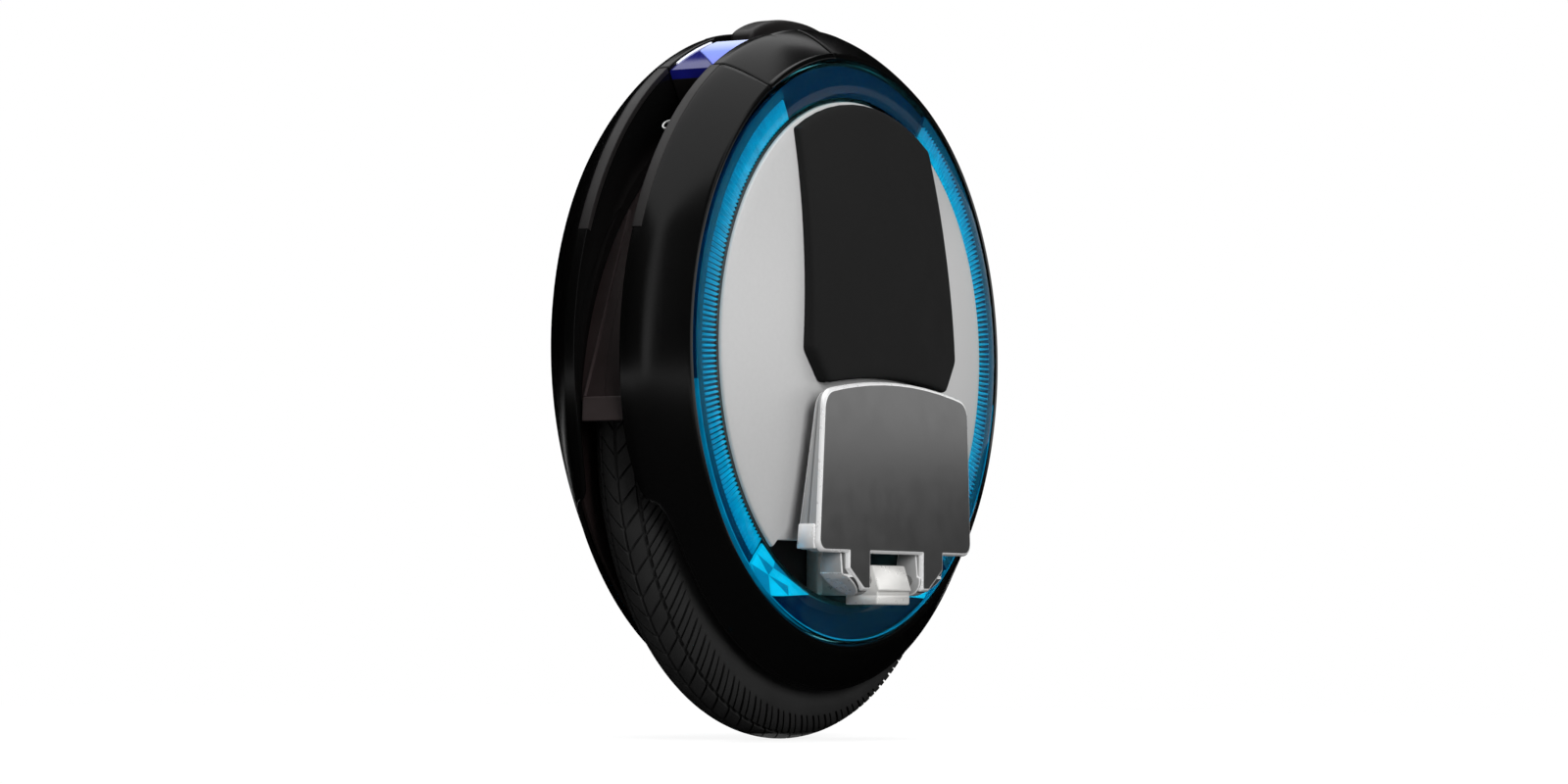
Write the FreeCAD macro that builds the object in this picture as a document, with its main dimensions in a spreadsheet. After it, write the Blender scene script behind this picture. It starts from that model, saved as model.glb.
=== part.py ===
import FreeCAD, Part
import math
import os
from types import SimpleNamespace

import Sketcher

# Electric unicycle: a hub-motor wheel between two lens-shaped shells, with folding pedals.
# X is the axle, the front (headlight) is -Y, +Z is up, and the origin is on the floor under the axle.
# The left side of the rider is +X. Left pieces are made first and right ones mirror them.

doc = FreeCAD.newDocument("electric_unicycle")

# Driving dimensions, in millimetres and degrees
DRIVING = {
    # Fits
    "running_clearance": 0.05,
    "fit_gap": 0.3,
    # Tyre, tube and rim
    "tyre_radius": 203,
    "tyre_width": 54,
    "tyre_wall": 5,
    "tread_groove": 1.5,
    "tread_groove_spacing": 13,
    "tube_wall": 1.5,
    "tyre_height": 50.5,
    "bead_width": 38,
    "bead_foot": 4.5,
    "rim_depth": 11.5,
    "rim_flange_height": 4.2,
    "rim_flange_width": 3.2,
    "valve_radius": 4,
    "valve_reach": 4,
    # Hub motor
    "cover_thickness": 3,
    "cover_margin": 1.5,
    "cover_bolt_count": 12,
    "cover_bolt_radius": 2.5,
    "cover_bolt_length": 9,
    "cover_bolt_head_radius": 4.5,
    "cover_bolt_head_height": 2.4,
    "magnet_depth": 6,
    "magnet_width": 32,
    "air_gap": 0.8,
    "stator_depth": 28,
    "stator_width": 24,
    "winding_width": 5,
    "winding_margin": 4,
    "stator_hub_width": 10,
    "bearing_radius": 21,
    "bearing_width": 12,
    "race_depth": 3.6,
    "race_groove": 1,
    "bearing_lip": 2.6,
    "seal_radius": 16,
    "housing_wall": 5,
    "axle_radius": 10,
    "axle_thread_radius": 8,
    "axle_bore_radius": 3.5,
    "washer_radius": 14,
    "washer_thickness": 1.5,
    "nut_width": 24,
    "nut_height": 7,
    "axle_stick_out": 1,
    # Wheel well
    "well_clearance": 4,
    "frame_wall": 3,
    "crown_clearance": 10,
    "crown_wall": 3,
    "crown_end_height": 14,
    "frame_margin": 8,
    "frame_hole_radius": 13,
    # Pedal brackets and hinges
    "bracket_thickness": 10,
    "bracket_edge": 1,
    "bracket_top": 26,
    "bracket_bolt_radius": 3,
    "bracket_bolt_head_radius": 5,
    "bracket_bolt_head_height": 3,
    "bracket_bolt_margin": 1,
    "bracket_bolt_drop": 34,
    "hinge_reach": 21.5,
    "hinge_drop": 97,
    "hinge_pin_radius": 4,
    "knuckle_radius": 10,
    "knuckle_width": 42,
    "arm_height": 20,
    "lug_gap": 11,
    "lug_width": 33,
    "pin_head_radius": 6,
    "pin_head_height": 2.5,
    # Outer shells
    "shell_margin": 9,
    "shell_rise": 47,
    "slot_width": 34,
    "lip_width": 7,
    "shell_wall": 3,
    "shoulder_roundness": 1.4,
    "tyre_opening_clearance": 8,
    "tyre_opening_corner": 17,
    "top_cap_start": 7.5,
    "top_cap_sweep": 25,
    "top_cap_depth": 25,
    "top_cap_seam": 0.1,
    "boss_radius": 5,
    "boss_inset": 13.3,
    "shell_screw_radius": 1.5,
    "shell_screw_length": 8,
    "shell_screw_head_radius": 3.5,
    "shell_screw_head_height": 1.8,
    # Light rings
    "ring_rise": 8,
    "ring_inset": 31.7,
    "ring_band": 26.1,
    "ring_reach": 21,
    "ring_crown": 2,
    "ring_wall": 3,
    "seat_recess": 6.5,
    "seat_wall": 2.5,
    "seat_band": 3,
    "led_board_thickness": 1.5,
    "guide_thickness": 3.5,
    "guide_top_angle": 28,
    "guide_bottom_angle": 32,
    # Side panels and leg pads
    "panel_wall": 2.5,
    "panel_proud": 1.5,
    "panel_dome": 20.5,
    "notch_margin": 9,
    "notch_rise": 22,
    "pad_thickness": 10,
    "pad_drop": 18.5,
    "pad_width": 184,
    "pad_top_width": 168,
    "pad_base_width": 152,
    "pad_corner_height": 15,
    "pad_margin": 1.5,
    "pad_crown_drop": 20,
    "pad_corner_rounding": 8,
    "pad_edge_rounding": 3,
    # Pedals
    "pedal_reach": 11,
    "pedal_length": 200,
    "pedal_taper": 6,
    "pedal_gap": 17.5,
    "pedal_height": 104.5,
    "pedal_root_depth": 18,
    "pedal_tip_depth": 7,
    "pedal_corner": 16,
    "pedal_crown": 9,
    "grip_depth": 2.5,
    "grip_margin": 7,
    # Handle
    "handle_rise": 8,
    "handle_width": 18,
    "handle_end_gap": 0.5,
    "handle_depth": 22,
    "handle_post": 10,
    "handle_rounding": 5,
    "handle_well_width": 48,
    "handle_well_length": 124,
    "handle_well_wall": 2,
    "handle_well_rim": 8,
    "well_floor": 2.5,
    # Lights in the slot
    "lamp_gap": 0.8,
    "lamp_sweep": 14,
    "lamp_lens_depth": 8,
    "lamp_housing_depth": 16,
    "lamp_recess": 1,
    # Rear console with the power button and the charge socket
    "console_gap": 3.296,
    "console_length": 84,
    "console_depth": 18,
    "console_recess": 6,
    "button_place": 24,
    "button_radius": 7,
    "button_depth": 8,
    "button_proud": 1.5,
    "button_travel": 2,
    "socket_place": 14,
    "socket_radius": 8,
    "socket_depth": 14,
    "socket_recess": 2,
    "socket_mouth_radius": 6.2,
    "socket_mouth_depth": 8,
    "charge_cap_radius": 11,
    "charge_cap_thickness": 2.4,
    "charge_cap_plug_radius": 5.2,
    "charge_cap_plug_depth": 2,
    "charge_cap_hinge_reach": 14,
    "charge_cap_hinge_radius": 1.9,
    "charge_cap_hinge_width": 8,
    "charge_cap_pin_radius": 0.8,
    # Strap eyelet
    "eyelet_angle": 48,
    "eyelet_radius": 3.6,
    "eyelet_wire": 1,
    "eyelet_depth": 6,
    "eyelet_stem": 2,
    # Battery and electronics
    "battery_width": 190,
    "battery_height": 112,
    "battery_depth": 18,
    "battery_rise": 6,
    "sink_width": 140,
    "sink_height": 100,
    "sink_depth": 6,
    "board_thickness": 1.6,
    "capacitor_radius": 6,
    "capacitor_height": 11,
    "capacitor_spacing": 22,
    "cable_radius": 2.5,
    "cable_bend": 5,
    "plug_width": 18,
    "plug_height": 15,
}
CAPACITOR_COUNT = 4
SHELL_STATIONS = 5
SHELL_SCREW_ANGLES = (20, 160, -20, 200, -60, 240)

sheet = doc.addObject("Spreadsheet::Sheet", "sizes")
for row, (name, number) in enumerate(DRIVING.items(), start=1):
    sheet.set(f"A{row}", name)
    sheet.set(f"B{row}", str(number))
    sheet.setAlias(f"B{row}", name)
doc.recompute()


class Size:
    """A length or angle: the expression that the document keeps and what it measures now."""

    def __init__(self, text, value):
        self.text = text
        self.value = value

    def __add__(self, other):
        other = as_size(other)
        return Size(f"({self.text} + {other.text})", self.value + other.value)

    __radd__ = __add__

    def __sub__(self, other):
        other = as_size(other)
        return Size(f"({self.text} - {other.text})", self.value - other.value)

    def __rsub__(self, other):
        return as_size(other) - self

    def __mul__(self, other):
        other = as_size(other)
        return Size(f"({self.text} * {other.text})", self.value * other.value)

    __rmul__ = __mul__

    def __truediv__(self, other):
        other = as_size(other)
        return Size(f"({self.text} / {other.text})", self.value / other.value)

    def __rtruediv__(self, other):
        return as_size(other) / self

    def __neg__(self):
        return 0 - self


def as_size(number):
    """Take a plain number as a size that never changes."""
    if isinstance(number, Size):
        return number
    return Size(f"({float(number)!r})", float(number))


def root(amount):
    return Size(f"sqrt({amount.text})", math.sqrt(amount.value))


def sine(angle):
    angle = as_size(angle)
    return Size(f"sin({angle.text} * 1 deg)", math.sin(math.radians(angle.value)))


def cosine(angle):
    angle = as_size(angle)
    return Size(f"cos({angle.text} * 1 deg)", math.cos(math.radians(angle.value)))


def arc_sine(share):
    return Size(f"(asin({share.text}) / 1 deg)", math.degrees(math.asin(share.value)))


def arc_tangent(share):
    return Size(f"(atan({share.text}) / 1 deg)", math.degrees(math.atan(share.value)))


def power(share, exponent):
    return Size(f"({share!r} ^ {exponent.text})", share ** exponent.value)


d = SimpleNamespace(**{name: Size(f"sizes.{name}", float(sheet.get(name))) for name in DRIVING})

# Sizes that several pieces share
axle_height = d.tyre_radius
bead_radius = d.tyre_radius - d.tyre_height
section_radius = d.tyre_width / 2
section_centre = d.tyre_radius - section_radius
rim_side = d.bead_width / 2 + d.fit_gap + d.rim_flange_width
cover_side = rim_side + d.cover_thickness
rim_inside = bead_radius - d.rim_depth
bolt_circle = bead_radius - d.rim_depth / 2
magnet_outside = rim_inside - d.running_clearance
magnet_inside = magnet_outside - d.magnet_depth
stator_outside = magnet_inside - d.air_gap
stator_inside = stator_outside - d.stator_depth
frame_inside = d.tyre_width / 2 + d.well_clearance
frame_outside = frame_inside + d.frame_wall
crown_inside = d.tyre_radius + d.crown_clearance
crown_outside = crown_inside + d.crown_wall
crown_end = axle_height + d.crown_end_height
bracket_outside = frame_outside + d.bracket_thickness
bracket_bolt_side = d.washer_radius + d.bracket_bolt_head_radius + d.bracket_bolt_margin
nut_seat = bracket_outside + d.washer_thickness
axle_end = nut_seat + d.nut_height + d.axle_stick_out
slot_side = d.slot_width / 2
lip_end = slot_side + d.lip_width
shell_radius = crown_outside + d.shell_margin
shell_height = axle_height + d.shell_rise
ring_height = shell_height + d.ring_rise
ring_radius = shell_radius - d.ring_inset
ring_inside = ring_radius - d.ring_band
ring_offset = frame_outside + d.ring_reach
mouth_radius = ring_radius + d.fit_gap + d.shell_wall
seat_offset = ring_offset - d.seat_recess
seat_inside = seat_offset - d.seat_wall
boss_circle = ring_radius - d.boss_inset
panel_rim_offset = ring_offset + d.panel_proud
panel_radius = ring_inside - d.fit_gap
dome_radius = (panel_radius * panel_radius + d.panel_dome * d.panel_dome) / (2 * d.panel_dome)
dome_peak = panel_rim_offset + d.panel_dome
dome_centre = dome_peak - dome_radius
hinge_offset = panel_rim_offset + d.hinge_reach
hinge_height = axle_height - d.hinge_drop
lug_start = d.knuckle_width / 2 + d.lug_gap
lug_end = lug_start + d.lug_width
pedal_offset = hinge_offset + d.pedal_reach
pedal_bottom = hinge_height + d.pedal_gap
pedal_top = pedal_bottom + d.pedal_height
pad_bottom = ring_height - d.pad_drop
handle_top = shell_height + shell_radius + d.handle_rise
console_face = shell_radius - d.console_recess
lamp_face = shell_radius - d.lamp_recess
lamp_step = lamp_face - d.lamp_lens_depth
lamp_back = lamp_step - d.lamp_housing_depth
lamp_start = arc_sine((d.handle_well_length / 2 + d.lamp_gap) / lamp_back)
console_back = console_face - d.console_depth
console_spread = arc_tangent((d.console_length / 2 + d.console_gap) / console_back)
console_angle = lamp_start + d.lamp_sweep + console_spread
slot_fit = slot_side - d.fit_gap

AXLE_TURN = FreeCAD.Rotation(FreeCAD.Vector(0, 1, 0), 90)
SEAM_TURN = FreeCAD.Rotation(FreeCAD.Vector(0, 0, 1), 180)
X_AXIS = FreeCAD.Vector(1, 0, 0)
UPRIGHT = 90
pieces = []


def add(kind, label):
    thing = doc.addObject(kind, label)
    thing.Label = label
    return thing


def keep(thing):
    """Count a finished document object as one of the unicycle's pieces."""
    pieces.append(thing)
    return thing


def bind(thing, **amounts):
    for name, amount in amounts.items():
        thing.setExpression(name, as_size(amount).text)
    return thing


def place(thing, x=0, y=0, z=0):
    for axis, amount in (("x", x), ("y", y), ("z", z)):
        if isinstance(amount, Size) or amount:
            thing.setExpression(f"Placement.Base.{axis}", as_size(amount).text)
    return thing


def turn(thing, angle):
    """Turn a piece about X, so that a positive angle takes +Y towards +Z."""
    thing.Placement.Rotation = FreeCAD.Rotation(X_AXIS, as_size(angle).value)
    thing.setExpression("Placement.Rotation.Angle", f"{as_size(angle).text} * 1 deg")
    return thing


# Sketches and solids


def arc_between(start, end, radius):
    """Find the arc under a half circle: a positive radius turns left, a negative one right."""
    turns_left = radius > 0
    first, last = (start, end) if turns_left else (end, start)
    chord = last - first
    half = chord.Length / 2
    reach = math.sqrt(max(radius * radius - half * half, 0))
    normal = FreeCAD.Vector(-chord.y, chord.x, 0).normalize()
    centre = first + chord * 0.5 + normal * reach
    begin = math.atan2(first.y - centre.y, first.x - centre.x)
    finish = math.atan2(last.y - centre.y, last.x - centre.x)
    circle = Part.Circle(centre, FreeCAD.Vector(0, 0, 1), abs(radius))
    return Part.ArcOfCircle(circle, begin, finish), turns_left


def outline(body, plane, corners, name):
    """Draw a closed outline; a corner is (u, v), or (u, v, radius) where an arc leaves it."""
    sketch = body.newObject("Sketcher::SketchObject", name)
    flat = [part for part in body.Origin.OriginFeatures if part.Role == plane]
    sketch.AttachmentSupport = [(flat[0], "")]
    sketch.MapMode = "FlatFace"
    spots = [FreeCAD.Vector(as_size(c[0]).value, as_size(c[1]).value, 0) for c in corners]
    ends = []
    for index, corner in enumerate(corners):
        start = spots[index]
        end = spots[(index + 1) % len(corners)]
        if len(corner) == 3:
            arc, turns_left = arc_between(start, end, as_size(corner[2]).value)
            sketch.addGeometry(arc, False)
            ends.append((1, 2) if turns_left else (2, 1))
        else:
            sketch.addGeometry(Part.LineSegment(start, end), False)
            ends.append((1, 2))
    for index in range(len(corners)):
        following = (index + 1) % len(corners)
        sketch.addConstraint(
            Sketcher.Constraint("Coincident", index, ends[index][1], following, ends[following][0]))
    for index, corner in enumerate(corners):
        for kind, amount, axis in (("DistanceX", corner[0], -2), ("DistanceY", corner[1], -1)):
            if not isinstance(amount, Size) and amount == 0:
                sketch.addConstraint(
                    Sketcher.Constraint("PointOnObject", index, ends[index][0], axis))
                continue
            amount = as_size(amount)
            number = sketch.addConstraint(
                Sketcher.Constraint(kind, -1, 1, index, ends[index][0], amount.value))
            sketch.setExpression(f"Constraints[{number}]", amount.text)
        if len(corner) == 3:
            radius = as_size(corner[2])
            radius = radius if radius.value > 0 else -radius
            number = sketch.addConstraint(Sketcher.Constraint("Radius", index, radius.value))
            sketch.setExpression(f"Constraints[{number}]", radius.text)
    return sketch


def revolved(label, corners, height=0, start=None, sweep=360):
    """Turn an outline of (along X, radius) corners about X, whole or as a sector."""
    body = add("PartDesign::Body", label)
    sketch = outline(body, "XY_Plane", corners, f"{label}_section")
    feature = body.newObject("PartDesign::Revolution", f"{label}_turned")
    feature.Profile = sketch
    feature.ReferenceAxis = (sketch, ["H_Axis"])
    bind(feature, Angle=sweep)
    place(body, z=height)
    if start is not None:
        turn(body, start)
    return body


def sector(label, x_from, x_to, r_from, r_to, height, start, sweep):
    """A stretch of a ring; its start is counted from the rear (+Y) over the top (90) to the front."""
    corners = [(x_from, r_from), (x_to, r_from), (x_to, r_to), (x_from, r_to)]
    return revolved(label, corners, height, start, sweep)


def padded_out(label, plane, corners, length, height=0):
    """Extend an outline evenly to both sides of its plane."""
    body = add("PartDesign::Body", label)
    sketch = outline(body, plane, corners, f"{label}_outline")
    feature = body.newObject("PartDesign::Pad", f"{label}_pad")
    feature.Profile = sketch
    feature.SideType = "Symmetric"
    bind(feature, Length=length)
    place(body, z=height)
    return body


def rod(label, radius, x_from, x_to, y=0, z=0):
    """A round bar along X."""
    bar = add("Part::Cylinder", label)
    bar.Placement.Rotation = AXLE_TURN
    bind(bar, Radius=radius, Height=as_size(x_to) - x_from)
    return place(bar, x_from, y, z)


def pin(label, radius, length, x=0, z=0):
    """A round bar along Y, evenly to both sides."""
    bar = add("Part::Cylinder", label)
    bar.Placement.Rotation = FreeCAD.Rotation(X_AXIS, -90)
    bind(bar, Radius=radius, Height=length)
    return place(bar, x, as_size(length) / -2, z)


def post(label, radius, z_from, z_to, x=0, y=0):
    """A round bar along Z."""
    bar = add("Part::Cylinder", label)
    bind(bar, Radius=radius, Height=as_size(z_to) - z_from)
    return place(bar, x, y, z_from)


def block(label, x, y, z):
    """A box between the given pairs of limits."""
    box = add("Part::Box", label)
    bind(box, Length=as_size(x[1]) - x[0], Width=as_size(y[1]) - y[0], Height=as_size(z[1]) - z[0])
    return place(box, x[0], y[0], z[0])


def cut(label, base, *tools):
    for index, tool in enumerate(tools, start=1):
        last = index == len(tools)
        made = add("Part::Cut", label if last else f"{label}_step{index}")
        made.Base = base
        made.Tool = tool
        made.Refine = False
        base = made
    return base


def joined(label, *things):
    made = add("Part::MultiFuse", label)
    made.Shapes = list(things)
    made.Refine = False
    return made


def shared(label, *things):
    made = add("Part::MultiCommon", label)
    made.Shapes = list(things)
    made.Refine = False
    return made


def group(label, *things):
    made = add("Part::Compound", label)
    made.Links = list(things)
    return made


def mirrored(label, source):
    made = add("Part::Mirroring", label)
    made.Source = source
    made.Normal = X_AXIS
    return made


def both_sides(left_piece):
    """Keep a left piece and its mirror image, named for the right side."""
    keep(left_piece)
    return keep(mirrored(left_piece.Label.replace("left_", "right_"), left_piece))


def edge_rounding(label, base, radius, picks):
    """Round the edges that picks() accepts."""
    doc.recompute()
    made = add("Part::Fillet", label)
    made.Base = base
    chosen = [n for n, edge in enumerate(base.Shape.Edges, start=1) if picks(edge)]
    made.Edges = [(n, radius.value, radius.value) for n in chosen]
    return made


# Wheel


def make_tyre():
    foot = d.bead_width / 2
    rise = root(section_radius * section_radius - foot * foot)
    hollow = section_radius - d.tyre_wall
    neck = foot - d.bead_foot
    hollow_rise = root(hollow * hollow - neck * neck)
    seat = bead_radius + d.fit_gap
    casing = revolved("tyre_casing", [
        (-foot, seat),
        (-neck, seat),
        (-neck, section_centre - hollow_rise, -hollow),
        (0, section_centre + hollow, -hollow),
        (neck, section_centre - hollow_rise),
        (neck, seat),
        (foot, seat),
        (foot, section_centre - rise, section_radius),
        (0, section_centre + section_radius, section_radius),
        (-foot, section_centre - rise),
    ], axle_height)
    drop = section_radius - root(section_radius * section_radius
                                 - d.tread_groove_spacing * d.tread_groove_spacing)
    grooves = []
    for side, offset, fall in (("left", d.tread_groove_spacing, drop),
                               ("middle", as_size(0), as_size(0)),
                               ("right", -d.tread_groove_spacing, drop)):
        groove = add("Part::Torus", f"tread_groove_{side}")
        groove.Placement.Rotation = AXLE_TURN
        bind(groove, Radius1=d.tyre_radius - fall, Radius2=d.tread_groove)
        grooves.append(place(groove, offset, 0, axle_height))
    return keep(cut("tyre", casing, *grooves))


def make_inner_tube():
    outer = section_radius - d.tyre_wall - d.fit_gap
    rings = []
    for name, radius in (("tube_outside", outer), ("tube_air", outer - d.tube_wall)):
        ring = add("Part::Torus", name)
        ring.Placement.Rotation = AXLE_TURN
        bind(ring, Radius1=section_centre, Radius2=radius)
        rings.append(place(ring, 0, 0, axle_height))
    return keep(cut("inner_tube", *rings))


def make_valve():
    elbow = axle_height - bolt_circle
    tip = axle_height - section_centre + section_radius - d.tyre_wall - d.fit_gap
    reach = cover_side + d.valve_reach
    upright = post("valve_upright", d.valve_radius, tip + d.fit_gap, elbow)
    bend = add("Part::Sphere", "valve_bend")
    bind(bend, Radius=d.valve_radius)
    place(bend, 0, 0, elbow)
    return keep(joined("valve_stem", upright, bend,
                       rod("valve_barrel", d.valve_radius, 0, reach, 0, elbow)))


def valve_room(name):
    """The space that the valve needs in the rim and the left motor cover."""
    elbow = axle_height - bolt_circle
    room = d.valve_radius + d.fit_gap
    bend = add("Part::Sphere", f"{name}_bend")
    bind(bend, Radius=room)
    place(bend, 0, 0, elbow)
    return joined(name, post(f"{name}_down", room, axle_height - bead_radius - room, elbow), bend,
                  rod(f"{name}_out", room, 0, cover_side + room, 0, elbow))


def make_cover_bolts():
    """Screw heads on both covers, with shanks that reach into the rim."""
    head_end = cover_side + d.cover_bolt_head_height
    heads = bolt_ring("cover_bolt_heads", cover_side, head_end, d.cover_bolt_head_radius)
    shanks = bolt_ring("cover_bolt_shanks", cover_side - d.cover_bolt_length, head_end, d.cover_bolt_radius)
    left_bolts = joined("left_cover_bolts", heads, shanks)
    return keep(group("motor_cover_bolts", left_bolts, mirrored("right_cover_bolts", left_bolts)))


def bolt_ring(name, x_from, x_to, radius):
    """A ring of short round bars, as bolts or as the holes for them."""
    body = add("PartDesign::Body", name)
    axis = [part for part in body.Origin.OriginFeatures if part.Role == "X_Axis"]
    flat = [part for part in body.Origin.OriginFeatures if part.Role == "YZ_Plane"]
    sketch = body.newObject("Sketcher::SketchObject", f"{name}_circle")
    sketch.AttachmentSupport = [(flat[0], "")]
    sketch.MapMode = "FlatFace"
    centre = FreeCAD.Vector(bolt_circle.value, 0, 0)
    sketch.addGeometry(Part.Circle(centre, FreeCAD.Vector(0, 0, 1), radius.value), False)
    sketch.addConstraint(Sketcher.Constraint("PointOnObject", 0, 3, -1))
    number = sketch.addConstraint(Sketcher.Constraint("DistanceX", -1, 1, 0, 3, bolt_circle.value))
    sketch.setExpression(f"Constraints[{number}]", bolt_circle.text)
    number = sketch.addConstraint(Sketcher.Constraint("Radius", 0, radius.value))
    sketch.setExpression(f"Constraints[{number}]", radius.text)
    feature = body.newObject("PartDesign::Pad", f"{name}_pad")
    feature.Profile = sketch
    bind(feature, Length=as_size(x_to) - x_from)
    pattern = body.newObject("PartDesign::PolarPattern", f"{name}_ring")
    pattern.Originals = [feature]
    pattern.Axis = (axis[0], [""])
    pattern.Angle = 360
    bind(pattern, Occurrences=d.cover_bolt_count)
    body.Tip = pattern
    place(body, x=x_from, z=axle_height)
    turn(body, 180 / d.cover_bolt_count)
    return body


def make_rim():
    seat = d.bead_width / 2 + d.fit_gap
    flange = bead_radius + d.rim_flange_height
    ring = revolved("rim_ring", [
        (-rim_side, rim_inside), (rim_side, rim_inside), (rim_side, flange), (seat, flange),
        (seat, bead_radius), (-seat, bead_radius), (-seat, flange), (-rim_side, flange),
    ], axle_height)
    hole = d.cover_bolt_radius + d.fit_gap
    left_holes = bolt_ring("rim_holes", cover_side - d.cover_bolt_length - d.fit_gap,
                           rim_side + d.fit_gap, hole)
    return keep(cut("rim", ring, left_holes, mirrored("rim_holes_right", left_holes),
                    valve_room("rim_valve_room")))


def make_motor_covers():
    edge = bead_radius + d.rim_flange_height - d.cover_margin
    bore = d.bearing_radius + d.running_clearance
    housing = bore + d.housing_wall
    inner_end = cover_side - d.bearing_lip - d.bearing_width
    lip = cover_side - d.bearing_lip + d.running_clearance
    disc = revolved("cover_disc", [
        (inner_end, bore), (lip, bore), (lip, d.seal_radius), (cover_side, d.seal_radius),
        (cover_side, edge), (rim_side, edge), (rim_side, housing), (inner_end, housing),
    ], axle_height)
    holes = bolt_ring("cover_holes", rim_side - d.fit_gap, cover_side + d.fit_gap,
                      d.cover_bolt_radius + d.fit_gap)
    drilled = cut("cover_drilled", disc, holes)
    keep(mirrored("right_motor_cover", drilled))
    return keep(cut("left_motor_cover", drilled, valve_room("cover_valve_room")))


def make_bearings():
    near = cover_side - d.bearing_lip - d.bearing_width
    far = cover_side - d.bearing_lip
    bore = d.axle_radius + d.running_clearance
    both_sides(revolved("left_bearing", [
        (near, bore), (far, bore), (far, bore + d.race_depth), (far - d.race_groove, bore + d.race_depth),
        (far - d.race_groove, d.bearing_radius - d.race_depth), (far, d.bearing_radius - d.race_depth),
        (far, d.bearing_radius), (near, d.bearing_radius),
    ], axle_height))
    seal_edge = d.seal_radius - d.running_clearance
    seal = revolved("left_seal", [
        (far + d.running_clearance, bore), (cover_side, bore), (cover_side, seal_edge),
        (far + d.running_clearance, seal_edge),
    ], axle_height)
    return keep(group("shaft_seals", seal, mirrored("right_seal", seal)))


def make_motor():
    half_magnet = d.magnet_width / 2
    keep(revolved("magnet_ring", [
        (-half_magnet, magnet_inside), (half_magnet, magnet_inside),
        (half_magnet, magnet_outside), (-half_magnet, magnet_outside),
    ], axle_height))
    half_core = d.stator_width / 2
    keep(revolved("stator_core", [
        (-half_core, stator_inside), (half_core, stator_inside),
        (half_core, stator_outside), (-half_core, stator_outside),
    ], axle_height))
    end = half_core + d.winding_width
    winding = revolved("left_winding", [
        (half_core, stator_inside + d.winding_margin), (end, stator_inside + d.winding_margin),
        (end, stator_outside - d.winding_margin), (half_core, stator_outside - d.winding_margin),
    ], axle_height)
    keep(group("stator_windings", winding, mirrored("right_winding", winding)))
    half_hub = d.stator_hub_width / 2
    inside = d.axle_radius + d.running_clearance
    outside = stator_inside - d.running_clearance
    keep(revolved("stator_hub", [
        (-half_hub, inside), (half_hub, inside), (half_hub, outside), (-half_hub, outside),
    ], axle_height))


def make_axle():
    """A hollow axle with a shoulder at each bracket; the motor cable comes out of its right end."""
    shoulder = frame_outside - d.running_clearance
    keep(revolved("axle", [
        (-axle_end, d.axle_bore_radius), (axle_end, d.axle_bore_radius),
        (axle_end, d.axle_thread_radius), (shoulder, d.axle_thread_radius),
        (shoulder, d.axle_radius), (-shoulder, d.axle_radius),
        (-shoulder, d.axle_thread_radius), (-axle_end, d.axle_thread_radius),
    ], axle_height))
    bore = d.axle_thread_radius + d.running_clearance
    washer = revolved("left_washer", [
        (bracket_outside, bore), (nut_seat, bore), (nut_seat, d.washer_radius),
        (bracket_outside, d.washer_radius),
    ], axle_height)
    keep(group("axle_washers", washer, mirrored("right_washer", washer)))
    hexagon = add("Part::Prism", "nut_hexagon")
    hexagon.Polygon = 6
    hexagon.Placement.Rotation = AXLE_TURN
    bind(hexagon, Circumradius=d.nut_width / (2 * cosine(30)), Height=d.nut_height)
    place(hexagon, nut_seat, 0, axle_height)
    nut = cut("left_nut", hexagon, rod("nut_thread", bore, nut_seat, axle_end, 0, axle_height))
    keep(group("axle_nuts", nut, mirrored("right_nut", nut)))


# Chassis


def screw_spot(angle):
    """The place of a shell screw on its circle, from the rear over the top to the front."""
    y = boss_circle * cosine(angle)
    z = ring_height + boss_circle * sine(angle)
    return y, z


def make_inner_frames():
    """A wheel well wall and half of the mudguard crown."""
    disc = rod("well_disc", crown_outside, frame_inside, frame_outside, 0, axle_height)
    trim = shell_radius - d.shell_wall - d.frame_margin
    wall = shared("well_wall", disc, rod("well_trim", trim, 0, frame_outside, 0, shell_height))
    crown = cut("crown_ring",
                rod("crown_out", crown_outside, d.running_clearance, frame_outside, 0, axle_height),
                rod("crown_in", crown_inside, 0, frame_outside, 0, axle_height))
    span = crown_outside + d.fit_gap
    upper = block("crown_span", (0, frame_outside), (-span, span), (crown_end, crown_end + span))
    solid = joined("well_solid", wall, shared("crown_half", crown, upper))
    holes = [rod("well_axle_hole", d.frame_hole_radius, frame_inside, frame_outside, 0, axle_height)]
    for number, angle in enumerate(SHELL_SCREW_ANGLES, start=1):
        y, z = screw_spot(angle)
        radius = d.shell_screw_radius + d.fit_gap
        holes.append(rod(f"well_screw_hole{number}", radius, frame_inside, frame_outside, y, z))
    for number, (y, z) in enumerate(bracket_bolt_spots(), start=1):
        radius = d.bracket_bolt_radius + d.fit_gap
        holes.append(rod(f"well_bolt_hole{number}", radius, frame_inside, frame_outside, y, z))
    both_sides(cut("left_inner_frame", solid, group("well_holes", *holes)))


def bracket_bolt_spots():
    side = bracket_bolt_side
    low = axle_height - d.bracket_bolt_drop
    return [(-side, axle_height), (side, axle_height), (-side, low), (side, low)]


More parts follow.
